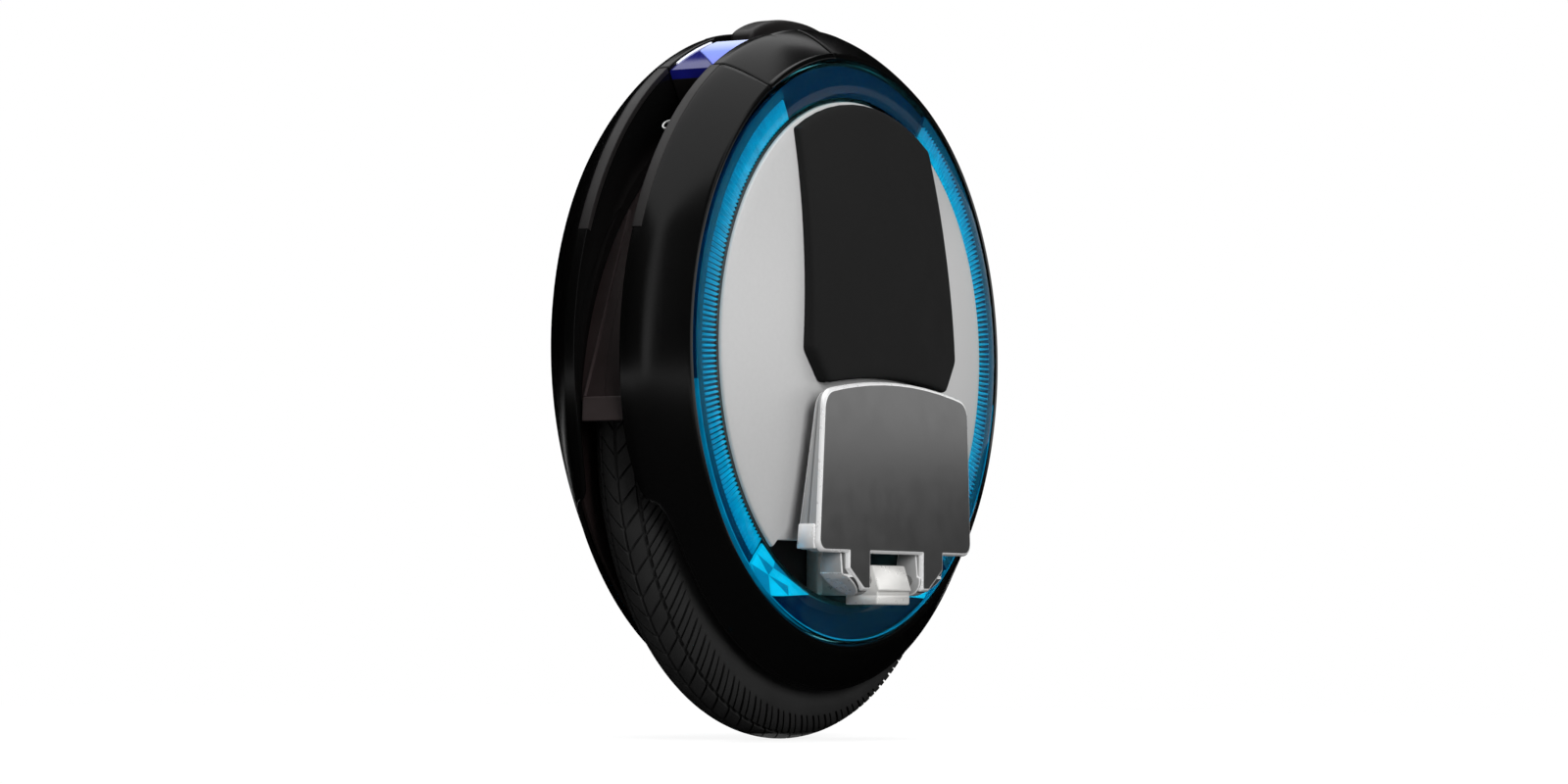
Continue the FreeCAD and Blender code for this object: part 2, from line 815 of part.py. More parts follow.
def make_pedal_brackets():
    """A cast arm that clamps the axle and carries the pedal hinge."""
    side = bracket_bolt_side + d.bracket_bolt_head_radius + d.bracket_edge
    arm_bottom = hinge_height - d.arm_height / 2
    plate = block("bracket_plate", (frame_outside, bracket_outside), (-side, side),
                  (arm_bottom, axle_height + d.bracket_top))
    half = d.knuckle_width / 2
    arm = block("bracket_arm", (frame_outside, hinge_offset), (-half, half),
                (arm_bottom, arm_bottom + d.arm_height))
    knuckle = pin("bracket_knuckle", d.knuckle_radius, d.knuckle_width, hinge_offset, hinge_height)
    holes = [
        rod("bracket_axle_hole", d.axle_thread_radius + d.running_clearance, frame_outside,
            bracket_outside, 0, axle_height),
        pin("bracket_pin_hole", d.hinge_pin_radius + d.running_clearance, d.knuckle_width + d.lug_width,
            hinge_offset, hinge_height),
    ]
    for number, (y, z) in enumerate(bracket_bolt_spots(), start=1):
        holes.append(rod(f"bracket_bolt_hole{number}", d.bracket_bolt_radius + d.fit_gap, frame_outside,
                         bracket_outside, y, z))
    solid = joined("bracket_solid", plate, arm, knuckle)
    both_sides(cut("left_pedal_bracket", solid, *holes))
    bolts = []
    for number, (y, z) in enumerate(bracket_bolt_spots(), start=1):
        head_end = bracket_outside + d.bracket_bolt_head_height
        shank = rod(f"bracket_bolt_shank{number}", d.bracket_bolt_radius, frame_inside, head_end, y, z)
        head = rod(f"bracket_bolt_head{number}", d.bracket_bolt_head_radius, bracket_outside, head_end, y, z)
        bolts.append(joined(f"bracket_bolt{number}", shank, head))
    left_bolts = group("left_bracket_bolts", *bolts)
    keep(group("bracket_bolts", left_bolts, mirrored("right_bracket_bolts", left_bolts)))


def make_hinge_pins():
    reach = 2 * (lug_end + d.fit_gap)
    shank = pin("hinge_pin_shank", d.hinge_pin_radius, reach + 2 * d.pin_head_height,
                hinge_offset, hinge_height)
    heads = cut("hinge_pin_heads",
                pin("hinge_head_length", d.pin_head_radius, reach + 2 * d.pin_head_height, hinge_offset,
                    hinge_height),
                pin("hinge_head_gap", d.pin_head_radius + d.fit_gap, reach, hinge_offset, hinge_height))
    left_pin = joined("left_hinge_pin", shank, heads)
    keep(group("pedal_hinge_pins", left_pin, mirrored("right_hinge_pin", left_pin)))


# Outer shells


def shell_blank(label, inset, web_side, mouth_end):
    """A stack of circles from the slot's lip to the mouth that takes the light ring."""
    lip = rod(f"{label}_lip", shell_radius - inset, web_side, lip_end, 0, shell_height)
    circles = []
    for station in range(SHELL_STATIONS):
        share = station / (SHELL_STATIONS - 1)
        fall = power(share, d.shoulder_roundness) if share else as_size(0)
        circle = add("Part::Circle", f"{label}_station{station}")
        circle.Placement.Rotation = AXLE_TURN
        bind(circle, Radius=shell_radius - inset + (mouth_radius - shell_radius) * fall)
        place(circle, lip_end + (mouth_end - lip_end) * share, 0,
              shell_height + (ring_height - shell_height) * fall)
        circles.append(circle)
    shoulder = add("Part::Loft", f"{label}_shoulder")
    shoulder.Sections = circles
    shoulder.Solid = True
    return joined(label, lip, shoulder)


def make_shells():
    outside = shell_blank("shell_outside", as_size(0), slot_side, ring_offset)
    inside = shell_blank("shell_inside", d.shell_wall, slot_side + d.shell_wall, ring_offset)
    skin = cut("shell_skin", outside, inside)
    slab = rod("seat_slab", shell_radius, seat_inside, seat_offset, 0, ring_height)
    seat_hole = rod("seat_hole", panel_radius - d.seat_band, seat_inside, seat_offset, 0, ring_height)
    seat = shared("shell_seat", outside, cut("seat_ring", slab, seat_hole))
    bosses = []
    holes = []
    for number, angle in enumerate(SHELL_SCREW_ANGLES, start=1):
        y, z = screw_spot(angle)
        bosses.append(rod(f"shell_boss{number}", d.boss_radius, frame_outside, seat_inside, y, z))
        holes.append(rod(f"shell_boss_hole{number}", d.shell_screw_radius + d.running_clearance,
                         frame_outside, frame_outside + d.shell_screw_length + d.fit_gap, y, z))
    solid = joined("shell_solid", skin, seat, *bosses)
    envelope = frame_outside + d.running_clearance
    opening = d.tyre_radius + d.tyre_opening_clearance
    corner = d.tyre_opening_corner
    wheel_room = revolved("tyre_opening", [
        (0, 0), (envelope, 0), (envelope, opening - corner, corner), (envelope - corner, opening),
        (0, opening),
    ], axle_height)
    span = crown_outside + d.fit_gap
    crown_room = shared(
        "crown_room", rod("crown_room_disc", span, 0, envelope, 0, axle_height),
        block("crown_room_span", (0, envelope), (-span, span), (crown_end - d.fit_gap, crown_end + span)))
    half_width = d.handle_well_width / 2
    half_length = d.handle_well_length / 2
    handle_room = block("handle_room", (0, half_width + d.fit_gap),
                        (-half_length - d.fit_gap, half_length + d.fit_gap),
                        (axle_height + crown_outside - d.handle_well_rim, handle_top))
    whole = cut("shell_whole", solid, wheel_room, crown_room, handle_room, group("shell_boss_holes", *holes))
    cap_floor = shell_radius - d.top_cap_depth
    room = sector("top_cap_room", 0, ring_offset + d.lip_width, cap_floor, handle_top - shell_height,
                  shell_height, UPRIGHT + d.top_cap_start, d.top_cap_sweep)
    wedge = sector("top_cap_wedge", 0, ring_offset + d.lip_width, cap_floor + d.fit_gap,
                   handle_top - shell_height, shell_height, UPRIGHT + d.top_cap_start + d.top_cap_seam,
                   d.top_cap_sweep - 2 * d.top_cap_seam)
    both_sides(cut("left_shell", whole, room))
    both_sides(shared("left_top_cap", whole, wedge))
    make_shell_screws()


def make_shell_screws():
    screws = []
    for number, angle in enumerate(SHELL_SCREW_ANGLES, start=1):
        y, z = screw_spot(angle)
        head = rod(f"shell_screw_head{number}", d.shell_screw_head_radius,
                   frame_inside - d.shell_screw_head_height, frame_inside, y, z)
        shank = rod(f"shell_screw_shank{number}", d.shell_screw_radius,
                    frame_inside - d.shell_screw_head_height, frame_outside + d.shell_screw_length, y, z)
        screws.append(joined(f"shell_screw{number}", head, shank))
    left_screws = group("left_shell_screws", *screws)
    keep(group("shell_screws", left_screws, mirrored("right_shell_screws", left_screws)))


# Light rings, panels and pads


def make_light_rings():
    """A clear blue ring over a ribbed light guide and a board of LEDs, seated on the shell."""
    outer_wall = ring_radius - d.ring_wall
    inner_wall = ring_inside + d.ring_wall
    board_end = seat_offset + d.led_board_thickness
    guide_end = board_end + d.guide_thickness
    crown_radius = (d.ring_band * d.ring_band / 4 + d.ring_crown * d.ring_crown) / (2 * d.ring_crown)
    both_sides(revolved("left_light_ring", [
        (seat_offset, ring_inside), (ring_offset, ring_inside, crown_radius),
        (ring_offset, ring_radius), (seat_offset, ring_radius), (seat_offset, outer_wall),
        (guide_end + d.fit_gap, outer_wall), (guide_end + d.fit_gap, inner_wall),
        (seat_offset, inner_wall),
    ], ring_height))
    inner = inner_wall + d.fit_gap
    outer = outer_wall - d.fit_gap
    both_sides(revolved("left_led_board", [
        (seat_offset, inner), (board_end, inner), (board_end, outer), (seat_offset, outer),
    ], ring_height))
    sweep = 2 * UPRIGHT - d.guide_top_angle - d.guide_bottom_angle
    rear = sector("left_rear_guide", board_end, guide_end, inner, outer, ring_height,
                  d.guide_bottom_angle - UPRIGHT, sweep)
    front = sector("left_front_guide", board_end, guide_end, inner, outer, ring_height,
                   UPRIGHT + d.guide_top_angle, sweep)
    both_sides(group("left_light_guide", rear, front))


def make_side_panels():
    """A shallow domed dish with a notch for the pedal hinge."""
    rim_inner = panel_radius - d.panel_wall
    inner_dome = dome_radius - d.panel_wall
    lift = root(inner_dome * inner_dome - rim_inner * rim_inner)
    dish = revolved("panel_dish", [
        (seat_offset, rim_inner), (seat_offset, panel_radius),
        (panel_rim_offset, panel_radius, -dome_radius), (dome_peak, 0),
        (dome_peak - d.panel_wall, 0, inner_dome), (dome_centre + lift, rim_inner),
    ], ring_height)
    side = lug_end + d.notch_margin
    notch = block("panel_notch", (seat_offset, dome_peak), (-side, side),
                  (ring_height - ring_radius, hinge_height + d.notch_rise))
    both_sides(cut("left_side_panel", dish, notch))


def make_leg_pads():
    """A crowned pad with soft edges, thinner towards its top, on the panel's dome."""
    inner = dome_radius + d.fit_gap
    outer = inner + d.pad_thickness
    balls = []
    crown_height = ring_height - d.pad_crown_drop
    faces = (("pad_face_ball", outer, crown_height), ("pad_back_ball", inner, ring_height))
    for name, radius, height in faces:
        ball = add("Part::Sphere", name)
        ball.Placement.Rotation = SEAM_TURN
        bind(ball, Radius=radius)
        balls.append(place(ball, dome_centre, 0, height))
    top_side = d.pad_top_width / 2
    edge = panel_radius - d.pad_margin
    shoulder = root(edge * edge - top_side * top_side)
    base = pad_bottom - ring_height
    side = d.pad_width / 2
    foot = d.pad_base_width / 2
    front = padded_out("pad_outline", "YZ_Plane", [
        (-foot, base), (foot, base), (side, base + d.pad_corner_height), (top_side, shoulder, edge),
        (-top_side, shoulder), (-side, base + d.pad_corner_height),
    ], 2 * (dome_peak + 2 * d.pad_thickness), ring_height)
    plain = shared("pad_plain", cut("pad_skin", *balls), front)
    middle = FreeCAD.Vector(dome_centre.value, 0, crown_height.value)

    def across(edge):
        box = edge.BoundBox
        return box.XLength > max(box.YLength, box.ZLength)

    def on_face(edge):
        spot = edge.valueAt((edge.FirstParameter + edge.LastParameter) / 2)
        return abs(spot.distanceToPoint(middle) - outer.value) < d.running_clearance.value

    corners = edge_rounding("pad_corners", plain, d.pad_corner_rounding, across)
    both_sides(edge_rounding("left_leg_pad", corners, d.pad_edge_rounding, on_face))


# Pedals


def pedal_face(height):
    """The distance of the tread face from the centre plane at a height, with the pedal folded."""
    rise = (as_size(height) - pedal_bottom) / (pedal_top - pedal_bottom)
    root_face = pedal_offset - d.pedal_root_depth
    return root_face + (d.pedal_root_depth - d.pedal_tip_depth) * rise


def make_pedals():
    """A wedge-shaped plate with two hinge lugs, folded up against the panel."""
    peak = pedal_top + d.pedal_crown
    wedge = padded_out("pedal_wedge", "XZ_Plane", [
        (pedal_face(pedal_bottom), pedal_bottom), (pedal_offset, pedal_bottom),
        (pedal_offset, peak), (pedal_face(peak), peak),
    ], d.pedal_length)
    foot = d.pedal_length / 2
    tip = foot - d.pedal_taper
    corner = d.pedal_corner
    flat = tip - corner
    crown_radius = (flat * flat + d.pedal_crown * d.pedal_crown) / (2 * d.pedal_crown)
    front = padded_out("pedal_outline", "YZ_Plane", [
        (-foot + corner, pedal_bottom), (foot - corner, pedal_bottom, corner),
        (foot, pedal_bottom + corner), (tip, pedal_top - corner, corner),
        (flat, pedal_top, crown_radius), (0, peak, crown_radius),
        (-flat, pedal_top, corner), (-tip, pedal_top - corner),
        (-foot, pedal_bottom + corner, corner),
    ], 2 * (pedal_offset + d.pedal_root_depth))
    plate = shared("pedal_plate", wedge, front)
    near = hinge_offset - d.knuckle_radius
    far = hinge_offset + d.knuckle_radius
    lugs = []
    for name, y in (("front", (-lug_end, -lug_start)), ("rear", (lug_start, lug_end))):
        eye = add("Part::Cylinder", f"pedal_{name}_eye")
        eye.Placement.Rotation = FreeCAD.Rotation(X_AXIS, -90)
        bind(eye, Radius=d.knuckle_radius, Height=d.lug_width)
        place(eye, hinge_offset, y[0], hinge_height)
        neck = block(f"pedal_{name}_neck", (near, far), y,
                     (hinge_height, pedal_bottom + d.pedal_corner))
        below = block(f"pedal_{name}_below", (near, far), y, (hinge_height, pedal_bottom))
        lugs.append(eye)
        lugs.append(shared(f"pedal_{name}_lug", neck, joined(f"pedal_{name}_limit", wedge, below)))
    solid = joined("pedal_solid", plate, *lugs)
    bore = pin("pedal_bore", d.hinge_pin_radius + d.running_clearance, 2 * lug_end, hinge_offset,
               hinge_height)
    both_sides(cut("left_pedal", solid, bore))
    low = pedal_bottom + d.grip_margin
    high = pedal_top - d.grip_margin
    mat = padded_out("grip_mat", "XZ_Plane", [
        (pedal_face(low) - d.grip_depth, low), (pedal_face(low), low), (pedal_face(high), high),
        (pedal_face(high) - d.grip_depth, high),
    ], 2 * flat)
    mat.Label = "left_pedal_grip"
    both_sides(mat)


# Handle and slot


def make_handle():
    """An arched bar on two posts that stand in a well between the shells."""
    half_length = d.handle_well_length / 2 - d.handle_well_wall - d.handle_end_gap
    arch = handle_top - shell_height
    under = arch - d.handle_depth
    opening = half_length - d.handle_post
    floor = axle_height + crown_outside + d.well_floor + d.fit_gap - shell_height
    corner_z = root(under * under - opening * opening)
    bar = padded_out("handle_arch", "YZ_Plane", [
        (-half_length, floor), (-opening, floor), (-opening, corner_z, -under), (0, under, -under),
        (opening, corner_z), (opening, floor), (half_length, floor),
        (half_length, root(arch * arch - half_length * half_length), arch), (0, arch, arch),
        (-half_length, root(arch * arch - half_length * half_length)),
    ], d.handle_width, shell_height)
    side = d.handle_width / 2
    top = handle_top - d.handle_depth / 2

    def long_top_edge(edge):
        box = edge.BoundBox
        flat = abs(abs(box.XMin) - side.value) < 0.01 and box.XLength < 0.01
        return flat and box.ZMax > top.value and box.YLength > d.handle_post.value

    keep(edge_rounding("handle", bar, d.handle_rounding, long_top_edge))
    wall = d.handle_well_wall
    half_width = d.handle_well_width / 2
    half_well = d.handle_well_length / 2
    base = axle_height + crown_outside + d.fit_gap
    tub = block("handle_tub", (-half_width, half_width), (-half_well, half_well), (base, handle_top))
    hollow = block("handle_tub_hollow", (wall - half_width, half_width - wall),
                   (wall - half_well, half_well - wall), (base + d.well_floor, handle_top))
    rim_radius = shell_radius - d.handle_well_rim
    rim = rod("handle_tub_rim", rim_radius, -half_width, half_width, 0, shell_height)
    keep(shared("handle_well", cut("handle_tub_open", tub, hollow), rim))


def make_lamps():
    """A lens and its housing in the slot: the headlight in front of the handle, the tail light behind."""
    rear_start = UPRIGHT - lamp_start - d.lamp_sweep
    for name, start in (("headlight", UPRIGHT + lamp_start), ("tail_light", rear_start)):
        keep(sector(f"{name}_lens", -slot_fit, slot_fit, lamp_step, lamp_face, shell_height, start,
                    d.lamp_sweep))
        keep(sector(f"{name}_housing", -slot_fit, slot_fit, lamp_back, lamp_step, shell_height, start,
                    d.lamp_sweep))


def on_console(thing):
    """Stand a piece on the rear console, whose own Z points straight out of the slot."""
    place(thing, z=shell_height)
    return turn(thing, -console_angle)


def make_console():
    half = d.console_length / 2
    slab = block("console_block", (-slot_fit, slot_fit), (-half, half), (console_back, console_face))
    button_floor = console_face + d.button_proud - d.button_depth - d.button_travel - d.fit_gap
    button_hole = post("button_hole", d.button_radius + d.fit_gap, button_floor, console_face, 0,
                       -d.button_place)
    socket_hole = post("socket_hole", d.socket_radius + d.running_clearance, console_back, console_face, 0,
                       d.socket_place)
    hinge_y = d.socket_place + d.charge_cap_hinge_reach
    hinge_z = console_face + d.charge_cap_hinge_radius + d.fit_gap
    ear_side = d.charge_cap_hinge_width / 2 + d.fit_gap
    ear_end = ear_side + d.charge_cap_hinge_radius
    ears = []
    ear_foot = (hinge_y - d.charge_cap_hinge_radius, hinge_y + d.charge_cap_hinge_radius)
    for name, x in (("left", (ear_side, ear_end)), ("right", (-ear_end, -ear_side))):
        ear_eye = rod(f"{name}_cap_ear_eye", d.charge_cap_hinge_radius, *x, hinge_y, hinge_z)
        foot = block(f"{name}_cap_ear_foot", x, ear_foot, (console_face - d.fit_gap, hinge_z))
        ears.append(joined(f"{name}_cap_ear", ear_eye, foot))
    pin_fit = d.charge_cap_pin_radius + d.running_clearance
    pin_hole = rod("cap_pin_hole", pin_fit, -ear_end, ear_end, hinge_y, hinge_z)
    solid = joined("console_solid", slab, *ears)
    keep(on_console(cut("rear_console", solid, button_hole, socket_hole, pin_hole)))
    cap_pin = rod("cap_pin_bar", d.charge_cap_pin_radius, -ear_end, ear_end, hinge_y, hinge_z)
    keep(on_console(group("charge_cap_pin", cap_pin)))

    button_top = console_face + d.button_proud
    button = post("button_disc", d.button_radius, button_top - d.button_depth, button_top, 0,
                  -d.button_place)
    keep(on_console(group("power_button", button)))

    socket_top = console_face - d.socket_recess
    barrel = post("socket_barrel", d.socket_radius, socket_top - d.socket_depth, socket_top, 0,
                  d.socket_place)
    mouth = post("socket_mouth", d.socket_mouth_radius, socket_top - d.socket_mouth_depth, socket_top, 0,
                 d.socket_place)
    keep(on_console(cut("charge_socket", barrel, mouth)))

    cap_low = console_face + d.fit_gap
    lid = post("cap_lid", d.charge_cap_radius, cap_low, cap_low + d.charge_cap_thickness, 0, d.socket_place)
    plug = post("cap_plug", d.charge_cap_plug_radius, cap_low - d.charge_cap_plug_depth, cap_low, 0,
                d.socket_place)
    half_hinge = d.charge_cap_hinge_width / 2
    strap = block("cap_strap", (-half_hinge, half_hinge), (d.socket_place, hinge_y),
                  (cap_low, cap_low + d.charge_cap_thickness))
    barrel_eye = rod("cap_eye", d.charge_cap_hinge_radius, -half_hinge, half_hinge, hinge_y, hinge_z)
    pin_room = rod("cap_eye_hole", pin_fit, -half_hinge, half_hinge, hinge_y, hinge_z)
    keep(on_console(cut("charge_cap", joined("cap_solid", lid, plug, strap, barrel_eye), pin_room)))


def make_eyelet():
    """A wire ring for a strap, fixed to the left edge of the slot."""
    level = shell_radius - d.eyelet_depth
    offset = slot_side - d.eyelet_stem - d.eyelet_radius
    ring = add("Part::Torus", "eyelet_ring")
    bind(ring, Radius1=d.eyelet_radius, Radius2=d.eyelet_wire)
    place(ring, offset, 0, level)
    stem = rod("eyelet_stem", d.eyelet_wire, offset + d.eyelet_radius, slot_side, 0, level)
    eyelet = joined("strap_eyelet", ring, stem)
    place(eyelet, z=shell_height)
    keep(turn(eyelet, d.eyelet_angle))


# Battery and electronics


def make_electronics():
    low = ring_height + d.battery_rise
    half = d.battery_width / 2
    keep(block("battery_pack", (frame_outside, frame_outside + d.battery_depth), (-half, half),
               (low, low + d.battery_height)))
    half_sink = d.sink_width / 2
    sink_end = -frame_outside - d.sink_depth
    keep(block("heat_sink", (sink_end, -frame_outside), (-half_sink, half_sink), (low, low + d.sink_height)))
    board_end = sink_end - d.board_thickness
    keep(block("control_board", (board_end, sink_end), (-half_sink, half_sink), (low, low + d.sink_height)))
    capacitors = []
    for number in range(CAPACITOR_COUNT):
        y = (number - (CAPACITOR_COUNT - 1) / 2) * d.capacitor_spacing
        capacitors.append(rod(f"capacitor{number + 1}", d.capacitor_radius, board_end - d.capacitor_height,
                              board_end, y, low + d.sink_height / 2))
    keep(group("capacitors", *capacitors))

    bend_centre = axle_height + d.cable_bend
    line = -axle_end - d.cable_bend
    plug_low = low + d.fit_gap
    inside = rod("cable_inside", d.cable_radius, -axle_end, 0, 0, axle_height)
    bend = add("Part::Torus", "cable_turn")
    quarter = FreeCAD.Rotation(X_AXIS, 90).multiply(FreeCAD.Rotation(FreeCAD.Vector(0, 0, 1), 180))
    bend.Placement.Rotation = quarter
    bend.Angle3 = 90
    bind(bend, Radius1=d.cable_bend, Radius2=d.cable_radius)
    place(bend, -axle_end, 0, bend_centre)
    rise = post("cable_rise", d.cable_radius, bend_centre, plug_low, line, 0)
    keep(joined("motor_cable", inside, bend, rise))
    half_plug = d.plug_width / 2
    keep(block("motor_plug", (line - d.cable_radius, board_end), (-half_plug, half_plug),
               (plug_low, plug_low + d.plug_height)))


make_tyre()
make_inner_tube()
make_valve()
make_rim()
make_cover_bolts()
make_motor_covers()
make_bearings()
make_motor()
make_axle()
make_inner_frames()
make_pedal_brackets()
make_hinge_pins()
make_shells()
make_light_rings()
make_side_panels()
make_leg_pads()
make_pedals()
make_handle()
make_lamps()
make_console()
make_eyelet()
make_electronics()
doc.recompute()

# Every object has to be whole before anything is written
for thing in doc.Objects:
    if "Invalid" in thing.State or "Error" in thing.State:
        raise RuntimeError(f"{thing.Label} failed: {thing.State}")
for piece in pieces:
    if piece.Shape.isNull() or not piece.Shape.isValid() or not piece.Shape.Solids:
        raise RuntimeError(f"{piece.Label} has no valid solid")

os.makedirs("parts", exist_ok=True)
for piece in pieces:
    piece.Shape.exportStep(f"parts/{piece.Label}.step")
    print(piece.Label, len(piece.Shape.Solids), round(piece.Shape.Volume))
print(len(pieces), "pieces")
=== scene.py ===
import math

import bmesh
import bpy
from mathutils import Matrix, Vector


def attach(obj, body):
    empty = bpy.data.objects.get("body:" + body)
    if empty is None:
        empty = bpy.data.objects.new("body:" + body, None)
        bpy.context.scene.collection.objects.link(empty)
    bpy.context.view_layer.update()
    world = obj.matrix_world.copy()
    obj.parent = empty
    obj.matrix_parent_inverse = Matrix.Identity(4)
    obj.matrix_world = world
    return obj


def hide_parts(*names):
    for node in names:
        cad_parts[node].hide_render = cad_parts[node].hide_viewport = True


# Electric unicycle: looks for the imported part, in metres, in the part's own frame.
# Sizes below are in millimetres, as in the part's source, and angles are in degrees.
# An angle round the wheel starts at the top and grows towards the front, which is -Y.

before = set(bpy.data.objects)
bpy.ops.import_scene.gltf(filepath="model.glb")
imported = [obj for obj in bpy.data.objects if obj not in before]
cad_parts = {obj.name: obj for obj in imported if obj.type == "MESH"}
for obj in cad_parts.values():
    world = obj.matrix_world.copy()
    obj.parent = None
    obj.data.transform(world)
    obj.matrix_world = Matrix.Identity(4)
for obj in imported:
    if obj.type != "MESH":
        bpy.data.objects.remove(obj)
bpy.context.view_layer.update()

MM = 0.001
AXLE_Z = 203.0
SHELL_Z = 250.0
SHELL_R = 225.0
SLOT_SIDE = 17.0
LIP_END = 24.0
RING_Z = 258.0
RING_X = 55.0
RING_OUTER = 193.3
RING_INNER = 167.2
SEAT_X = 48.5
DOME_PEAK = 77.0
PANEL_R = 166.9
PANEL_RIM_X = 56.5
DOME_R = (PANEL_R ** 2 + (DOME_PEAK - PANEL_RIM_X) ** 2) / (2 * (DOME_PEAK - PANEL_RIM_X))
HINGE_X = 78.0
HINGE_Z = 106.0
PEDAL_X = 89.0
PEDAL_BOTTOM = 123.5
PEDAL_TOP = 228.0
PEDAL_TIP_HALF = 94.0
PEDAL_CROWN = 9.0


# Colours and shader nodes

# Most of a noise texture's values lie between these two
NOISE_LOW = 0.3
NOISE_HIGH = 0.7
SMOOTHEST = 0.02


def colour(hex_text):
    """Turn an sRGB hex value into the linear colour that shaders take."""
    channels = [int(hex_text[place:place + 2], 16) / 255 for place in (1, 3, 5)]
    linear = [c / 12.92 if c <= 0.04045 else ((c + 0.055) / 1.055) ** 2.4 for c in channels]
    return (*linear, 1.0)


def add_node(tree, kind, sockets=None, **settings):
    """Add a node with its settings; a socket takes a value or another node's output."""
    made = tree.nodes.new(kind)
    for name, value in settings.items():
        setattr(made, name, value)
    for name, value in (sockets or {}).items():
        if isinstance(value, bpy.types.NodeSocket):
            tree.links.new(value, made.inputs[name])
        else:
            made.inputs[name].default_value = value
    return made


def new_material(name):
    """An empty material and its node tree."""
    made = bpy.data.materials.new(name)
    made.use_nodes = True
    made.node_tree.nodes.clear()
    return made, made.node_tree


def per_mm(size):
    """The texture scale whose features are about this many millimetres wide."""
    return 1.0 / (size * MM)


def finish(name, main, second, roughness, grain_mm=1.0, grain_depth=0.0, patch_mm=40.0, spread=0.08,
           edge_mm=0.0, metallic=0.0, specular_ior_level=0.5):
    """A surface with soft colour patches, uneven gloss, a fine grain and softly rounded edges."""
    made, tree = new_material(name)
    coords = add_node(tree, "ShaderNodeTexCoord").outputs["Object"]
    patches = add_node(tree, "ShaderNodeTexNoise", {
        "Vector": coords, "Scale": per_mm(patch_mm), "Detail": 4.0})
    tint = add_node(tree, "ShaderNodeMix", {0: patches.outputs["Fac"], 6: colour(main), 7: colour(second)},
                    data_type="RGBA")
    gloss = add_node(tree, "ShaderNodeMapRange", {
        "Value": patches.outputs["Fac"], "From Min": NOISE_LOW, "From Max": NOISE_HIGH,
        "To Min": max(roughness - spread, SMOOTHEST), "To Max": min(roughness + spread, 1.0)})
    sockets = {"Base Color": tint.outputs[2], "Roughness": gloss.outputs["Result"], "Metallic": metallic,
               "Specular IOR Level": specular_ior_level}
    normal = None
    if edge_mm:
        normal = add_node(tree, "ShaderNodeBevel", {"Radius": edge_mm * MM}, samples=6).outputs["Normal"]
    if grain_depth:
        grain = add_node(tree, "ShaderNodeTexNoise", {
            "Vector": coords, "Scale": per_mm(grain_mm), "Detail": 3.0})
        bump_sockets = {"Height": grain.outputs["Fac"], "Distance": grain_depth * MM, "Strength": 1.0}
        if normal:
            bump_sockets["Normal"] = normal
        normal = add_node(tree, "ShaderNodeBump", bump_sockets).outputs["Normal"]
    if normal:
        sockets["Normal"] = normal
    surface = add_node(tree, "ShaderNodeBsdfPrincipled", sockets)
    add_node(tree, "ShaderNodeOutputMaterial", {"Surface": surface.outputs["BSDF"]})
    return made


# Finishes, each named for what the real surface is

# Paint flake, spark texture and tool marks are really finer than half a millimetre, too fine to show,
# so their grain is drawn coarser than it is

# Polished black ABS: a deep mirror-like skin with a faint unevenness in its gloss
piano_black_abs = finish("piano_black_abs", "#060606", "#080808", 0.2, patch_mm=60, spread=0.03,
                         specular_ior_level=0.3)
# Moulded black ABS with a spark texture: a soft satin black, a little lighter along its edges
textured_black_abs = finish("textured_black_abs", "#171616", "#1D1B1B", 0.42, grain_mm=0.8, grain_depth=0.05,
                            edge_mm=0.8)
# Dark polypropylene of the wheel well: dull, a little brown, with dust in the grain
dark_polypropylene = finish("dark_polypropylene", "#1C1616", "#261D1D", 0.5, grain_mm=1.2, grain_depth=0.06,
                            patch_mm=25, edge_mm=1.0)
# Polypropylene a little greyer than the rest: plain grey at the guard's lip where it ends, and a painted
# highlight on the ridge over its crown
pale_and_highlight_polypropylene = finish("pale_and_highlight_polypropylene", "#2E2727", "#383030", 0.5, grain_mm=1.2, grain_depth=0.06,
                            patch_mm=12)
# Silver-painted ABS: pale grey with a metallic flake under a satin lacquer
silver_painted_abs = finish("silver_painted_abs", "#BDBDBD", "#C4C4C4", 0.4, grain_mm=0.5, grain_depth=0.006,
                            patch_mm=3, spread=0.04, metallic=0.15)
# Skin-moulded foam: soft, matt and black, with a leather-like grain of just under a millimetre
skinned_foam = finish("skinned_foam", "#1A1A1A", "#1E1E1E", 0.85, grain_mm=0.9, grain_depth=0.1, patch_mm=30,
                      spread=0.05, specular_ior_level=0.15)
# Die-cast alloy under grey satin paint: smooth, with a soft sheen from top to bottom
grey_painted_alloy = finish("grey_painted_alloy", "#707070", "#767676", 0.34, grain_mm=0.4, grain_depth=0.008,
                            patch_mm=12, spread=0.04, metallic=0.75)
# The same grey paint on the pedal's side walls, drawn paler: painted light, standing in for the bright floor
# and front light the walls reflect
painted_light_side_alloy = finish("painted_light_side_alloy", "#A6A6A6", "#AEAEAE", 0.4, grain_mm=0.4,
                             grain_depth=0.008, patch_mm=12, spread=0.04, metallic=0.2)
# The same alloy where the paint is cut back and polished: a bright line along the edges; its near-white,
# mostly matt colour is partly a painted highlight that stays bright on faces turned from the lamps
polish_and_highlight_alloy = finish("polish_and_highlight_alloy", "#EFEFEF", "#F6F6F6", 0.3, patch_mm=6, spread=0.05, metallic=0.3)
# Bare die-cast alloy, bright and slightly grainy
bare_cast_alloy = finish("bare_cast_alloy", "#EDECE9", "#F3F2EF", 0.34, grain_mm=0.7, grain_depth=0.02,
                         patch_mm=8, metallic=0.3, edge_mm=0.8)
# Tyre rubber: dull black with a dusty bloom and a fine moulding grain
tyre_rubber = finish("tyre_rubber", "#262626", "#2F2F2F", 0.75, grain_mm=0.7, grain_depth=0.08, patch_mm=18,
                     spread=0.1, specular_ior_level=0.25)
# Soft moulded rubber of mats, seals and the charge cap: matt, with a fine grain
soft_rubber = finish("soft_rubber", "#171717", "#1F1F1F", 0.8, grain_mm=0.6, grain_depth=0.08, patch_mm=10,
                     edge_mm=0.5)
